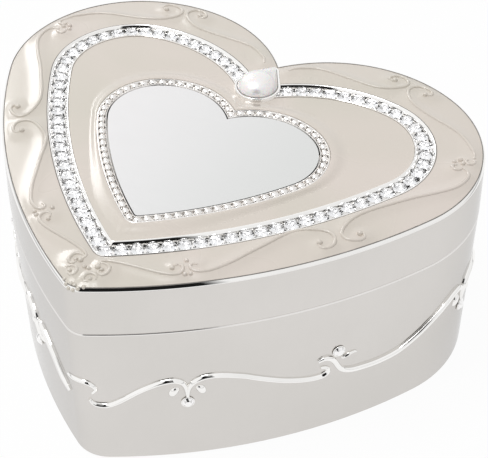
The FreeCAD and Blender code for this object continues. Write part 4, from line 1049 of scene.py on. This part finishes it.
# Beaded frame: a cast heart frame with a row of round beads, silver plated.
# A low lip inside the beads holds the plate, and a broader one runs round outside them.
bead_pitch = 2.05
bead_half_sizes = (0.93, 0.74, 0.6)
bead_middle = 50.72
bead_from_plate = 1.06
bead_line_steps = (12, 140, 100, 80)
frame_steps = (8, 70, 50, 40)
frame_profile = ((0.0, lid_floor), (0.0, 50.9), (-0.08, 51.0), (-0.2, 51.0), (-0.28, 50.85), (-0.34, 50.35),
                 (-1.66, 50.35), (-1.72, 50.9), (-1.84, 51.04), (-2.02, 51.06), (-2.14, 51.0),
                 (-frame_width, 50.88), (-frame_width, lid_floor))
frame_strip = heart_strip("frame_strip", plate_heart, frame_profile, frame_steps)
bead_line = heart_ring(plate_heart, -bead_from_plate, bead_line_steps)
bead_line.append(bead_line[0])
bead_runs = runs_along(bead_line)
bead_count = round(bead_runs[-1] / bead_pitch)
bpy.ops.object.select_all(action="DESELECT")
bpy.ops.mesh.primitive_uv_sphere_add(segments=16, ring_count=10, radius=1)
bead = bpy.context.object
bpy.ops.object.shade_smooth()
bead_shape = Matrix.Diagonal((*bead_half_sizes, 1))
bead_seats = []
for count in range(bead_count):
    place, along = spot_along(bead_line, bead_runs, bead_runs[-1] * (count + 0.5) / bead_count)
    seat = Matrix.Translation((place.x, place.y, bead_middle))
    turn = Matrix.Rotation(heading(along), 4, "Z")
    bead_seats.append(Matrix.Scale(mm, 4) @ seat @ turn @ bead_shape)
beads = set_copies("beads", bead, bead_seats)
beaded_frame = joined("beaded_frame", [frame_strip, beads])
frame_silver = polished("frame_silver", {"Metallic": 1.0}, ((0.90, 0.88, 0.86, 1), (0.80, 0.78, 0.76, 1)),
                        tone_marks=300, gloss_marks=900, smooth=0.1, dull=0.2)
beaded_frame.data.materials.append(frame_silver)
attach(beaded_frame, "lid")
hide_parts("bead_frame")

# Plate: a heart of plated sheet with a satin polish, laid in the beaded frame.
# Its base colour is painted lighter on the left and darker on the right, a painted gradient of reflected
# light.
plate_half = 22
plate_polish = new_finish("satin_plate", {"Metallic": 1.0})
plate_tree = plate_polish.node_tree
plate_places = plate_tree.nodes.new("ShaderNodeTexCoord")
plate_axes = plate_tree.nodes.new("ShaderNodeSeparateXYZ")
plate_painted_light = plate_tree.nodes.new("ShaderNodeMapRange")
plate_painted_light.inputs["From Min"].default_value = -plate_half * mm
plate_painted_light.inputs["From Max"].default_value = plate_half * mm
plate_tree.links.new(plate_places.outputs["Object"], plate_axes.inputs[0])
plate_tree.links.new(plate_axes.outputs["X"], plate_painted_light.inputs["Value"])
# Painted light: across X the plate's colour runs from light on the left to darker on the right.
tint(plate_polish, plate_painted_light.outputs["Result"],
     ((0.855, 0.845, 0.85, 1), (0.80, 0.80, 0.80, 1), (0.72, 0.73, 0.72, 1)), start=0.0, end=1.0)
plate_grain = cloud(plate_polish, marks_per_metre=700, detail=3, stretch=(0.3, 4, 1))
polish(plate_polish, plate_grain, smooth=0.16, dull=0.26)
dress(plate_polish, "name_plate")

# Pearl: a pear-shaped half pearl with a soft white lustre.
# It is cut flat underneath and glued in its cup.
pearl_radius = 4.42
pearl_tip_radius = 0.6
pearl_seat = 49.8
pearl_axis = 51.0
pearl_height = 3.1
pearl_fullness = 0.85
pearl_least = 0.0001
bpy.ops.object.select_all(action="DESELECT")
bpy.ops.mesh.primitive_uv_sphere_add(segments=64, ring_count=48, radius=1, rotation=(math.radians(-90), 0, 0))
pearl = bpy.context.object
pearl.name = "pearl_drop"
bpy.ops.object.transform_apply(location=True, rotation=True, scale=True)
for vertex in pearl.data.vertices:
    round_the_axis = math.hypot(vertex.co.x, vertex.co.z)
    edge = pear_spot(Vector((round_the_axis, vertex.co.y, 0)).normalized(), pearl_radius, pearl_tip_radius)
    share_across = vertex.co.x / max(round_the_axis, pearl_least)
    share_up = vertex.co.z / max(round_the_axis, pearl_least)
    height = pearl_height * (max(edge.x, 0) / pearl_radius) ** pearl_fullness
    vertex.co = Vector((edge.x * share_across, edge.y, pearl_axis + height * share_up)) * mm
bpy.ops.object.mode_set(mode="EDIT")
bpy.ops.mesh.select_all(action="SELECT")
bpy.ops.mesh.bisect(plane_co=(0, 0, pearl_seat * mm), plane_no=(0, 0, 1), use_fill=True, clear_inner=True)
bpy.ops.mesh.select_all(action="SELECT")
bpy.ops.mesh.normals_make_consistent(inside=False)
bpy.ops.object.mode_set(mode="OBJECT")
bpy.ops.object.shade_smooth_by_angle(angle=math.radians(sheet_crease))
nacre = grained("nacre", {"Metallic": 0.35, "Subsurface Weight": 0.2, "Subsurface Scale": 0.002,
                          "Coat Weight": 0.8, "Coat Roughness": 0.08},
                ((0.95, 0.90, 0.89, 1), (0.95, 0.93, 0.92, 1), (0.94, 0.92, 0.91, 1)),
                smooth=0.22, dull=0.34, marks_per_metre=130, swirl=1.0)
pearl.data.materials.append(nacre)
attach(pearl, "lid")
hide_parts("pearl")

# Pearl gap shade: a fine dark tube between the pearl and its cup, painted shade for the shadow in the gap.
# It follows the cup's sloping rim a little below the top.
gap_shade_radius = 0.13
gap_shade_inset = 0.02
gap_shade_drop = 0.1
gap_shade_ring = pear_ring(cup_wall + gap_shade_inset, drop=gap_shade_drop)
gap_shade_places = [place * mm for place in gap_shade_ring + gap_shade_ring[:1]]
pearl_gap_shade = tubes("pearl_gap_shade", [(gap_shade_places, [1] * len(gap_shade_places))], gap_shade_radius)
pearl_gap_shade.data.materials.append(gap_shade)
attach(pearl_gap_shade, "lid")

# Studio floor: a white table top that keeps a faint shadow of the box.
# Where the camera or a mirror sees it, it mostly glows, so that it stays evenly white.
floor_size = 6
floor_seen = 0.95
floor_mirrored = 0.85


def reckon(tree, operation, first, second):
    """A sum in a shader tree, each of its two values a socket or a number."""
    node = tree.nodes.new("ShaderNodeMath")
    node.operation = operation
    for place, value in zip(node.inputs, (first, second)):
        if isinstance(value, float):
            place.default_value = value
        else:
            tree.links.new(value, place)
    return node.outputs[0]


def mixed(tree, share, first, second):
    """A mix of two shaders, with this share of the second."""
    node = tree.nodes.new("ShaderNodeMixShader")
    for place, value in zip(node.inputs, (share, first, second)):
        tree.links.new(value, place)
    return node.outputs[0]


def mirrored_rays(tree, rays):
    """One for rays that come off a mirror or through glass, and zero for others."""
    return reckon(tree, "MAXIMUM", rays.outputs["Is Glossy Ray"], rays.outputs["Is Transmission Ray"])


bpy.ops.object.select_all(action="DESELECT")
bpy.ops.mesh.primitive_plane_add(size=floor_size)
floor = bpy.context.object
floor.name = "floor"
floor_finish = bpy.data.materials.new("white_table")
floor_finish.use_nodes = True
floor_tree = floor_finish.node_tree
floor_tree.nodes.clear()
table_top = floor_tree.nodes.new("ShaderNodeBsdfDiffuse")
table_top.inputs["Color"].default_value = (0.95, 0.95, 0.95, 1)
table_glow = floor_tree.nodes.new("ShaderNodeEmission")
table_glow.inputs["Strength"].default_value = 1.0
floor_rays = floor_tree.nodes.new("ShaderNodeLightPath")
floor_out = floor_tree.nodes.new("ShaderNodeOutputMaterial")
glow_seen = reckon(floor_tree, "MULTIPLY", floor_rays.outputs["Is Camera Ray"], floor_seen)
glow_mirrored = reckon(floor_tree, "MULTIPLY", mirrored_rays(floor_tree, floor_rays), floor_mirrored)
glow_share = reckon(floor_tree, "MAXIMUM", glow_seen, glow_mirrored)
floor_shader = mixed(floor_tree, glow_share, table_top.outputs[0], table_glow.outputs[0])
floor_tree.links.new(floor_shader, floor_out.inputs[0])
floor.data.materials.append(floor_finish)

# Studio light: a white room with a tall dark flag behind the camera, which draws the black lines
# on polished edges, and two soft lamps.
camera_turn = math.radians(29.87)
flag_turn = camera_turn - math.radians(3)
flag_clear = math.cos(math.radians(25))
flag_full = math.cos(math.radians(20))
room_strength = 0.66
lamp_aim = Vector((0, 0, 0.03))
world = bpy.data.worlds.new("white_room")
bpy.context.scene.world = world
world.use_nodes = True
room = world.node_tree
room.nodes.clear()
room_out = room.nodes.new("ShaderNodeOutputWorld")
room_rays = room.nodes.new("ShaderNodeLightPath")
room_place = room.nodes.new("ShaderNodeTexCoord").outputs["Generated"]
room_axes = room.nodes.new("ShaderNodeSeparateXYZ")
room.links.new(room_place, room_axes.inputs[0])


def background(strength):
    """A plain light of this strength from the whole room."""
    node = room.nodes.new("ShaderNodeBackground")
    node.inputs["Strength"].default_value = strength
    return node


def direction_step(operation, first, second=None):
    """A sum on a direction in the room, with a fixed direction where one is given."""
    node = room.nodes.new("ShaderNodeVectorMath")
    node.operation = operation
    room.links.new(first, node.inputs[0])
    if second is not None:
        node.inputs[1].default_value = second
    return node.outputs["Value" if operation == "DOT_PRODUCT" else "Vector"]


def room_edge(source, clear_at, full_at):
    """A soft edge in the room: none of it at one value of the source and all of it at the other."""
    edge = room.nodes.new("ShaderNodeMapRange")
    edge.inputs["From Min"].default_value = clear_at
    edge.inputs["From Max"].default_value = full_at
    room.links.new(source, edge.inputs["Value"])
    return edge.outputs["Result"]


def darken(tone, edges, depth):
    """The room's tone made darker by a depth inside all of these edges."""
    inside = edges[0]
    for edge in edges[1:]:
        inside = reckon(room, "MULTIPLY", inside, edge)
    left_over = room.nodes.new("ShaderNodeMapRange")
    left_over.inputs["To Min"].default_value = 1.0
    left_over.inputs["To Max"].default_value = 1.0 - depth
    room.links.new(inside, left_over.inputs["Value"])
    return reckon(room, "MULTIPLY", tone, left_over.outputs["Result"])


level = direction_step("NORMALIZE", direction_step("MULTIPLY", room_place, (1, 1, 0)))
behind = direction_step("DOT_PRODUCT", level, (math.sin(flag_turn), -math.cos(flag_turn), 0))
beside = direction_step("DOT_PRODUCT", level, (math.cos(camera_turn), math.sin(camera_turn), 0))
rise = room_axes.outputs["Z"]
flag = [room_edge(behind, flag_clear, flag_full), room_edge(rise, 0.22, 0.32), room_edge(rise, 0.84, 0.78)]
grey_side = [room_edge(beside, 0.15, 0.6), room_edge(rise, 0.0, 0.1), room_edge(rise, 0.95, 0.7)]
horizon = [room_edge(rise, -0.02, 0.02), room_edge(rise, 0.14, 0.08)]
room_tone = darken(1.0, flag, depth=0.99)
room_tone = darken(room_tone, grey_side, depth=0.1)
room_tone = darken(room_tone, horizon, depth=0.4)
room_seen = background(1.0)
room.links.new(room_tone, room_seen.inputs["Color"])
room_light = background(room_strength)
room_white = background(1.0)
room_shader = mixed(room, mirrored_rays(room, room_rays), room_light.outputs[0], room_seen.outputs[0])
room_shader = mixed(room, room_rays.outputs["Is Camera Ray"], room_shader, room_white.outputs[0])
room.links.new(room_shader, room_out.inputs[0])

for name, spot, size, power in (("left_softbox", (-1.01, 0.60, 0.72), 0.42, 2.3),
                                ("overhead_softbox", (-0.25, -0.25, 1.2), 0.5, 5.5)):
    lamp = bpy.data.lights.new(name, "AREA")
    lamp.size = size
    lamp.energy = power
    lamp_object = bpy.data.objects.new(name, lamp)
    lamp_object.location = spot
    lamp_object.rotation_euler = (Vector(spot) - lamp_aim).to_track_quat("Z", "Y").to_euler()
    bpy.context.collection.objects.link(lamp_object)

# Camera: from the front right and above, with a long lens.
# It looks down on the closed lid.
camera_rise = math.radians(41.48)
camera_data = bpy.data.cameras.new("camera")
camera_data.lens = 123.1
camera_data.sensor_width = 36
camera_data.clip_start = 0.01
camera = bpy.data.objects.new("camera", camera_data)
camera.location = (0.14405, -0.23307, 0.26967)
camera.rotation_euler = (math.pi / 2 - camera_rise, 0, camera_turn)
bpy.context.collection.objects.link(camera)
bpy.context.scene.camera = camera
bpy.context.scene.view_settings.view_transform = "Standard"
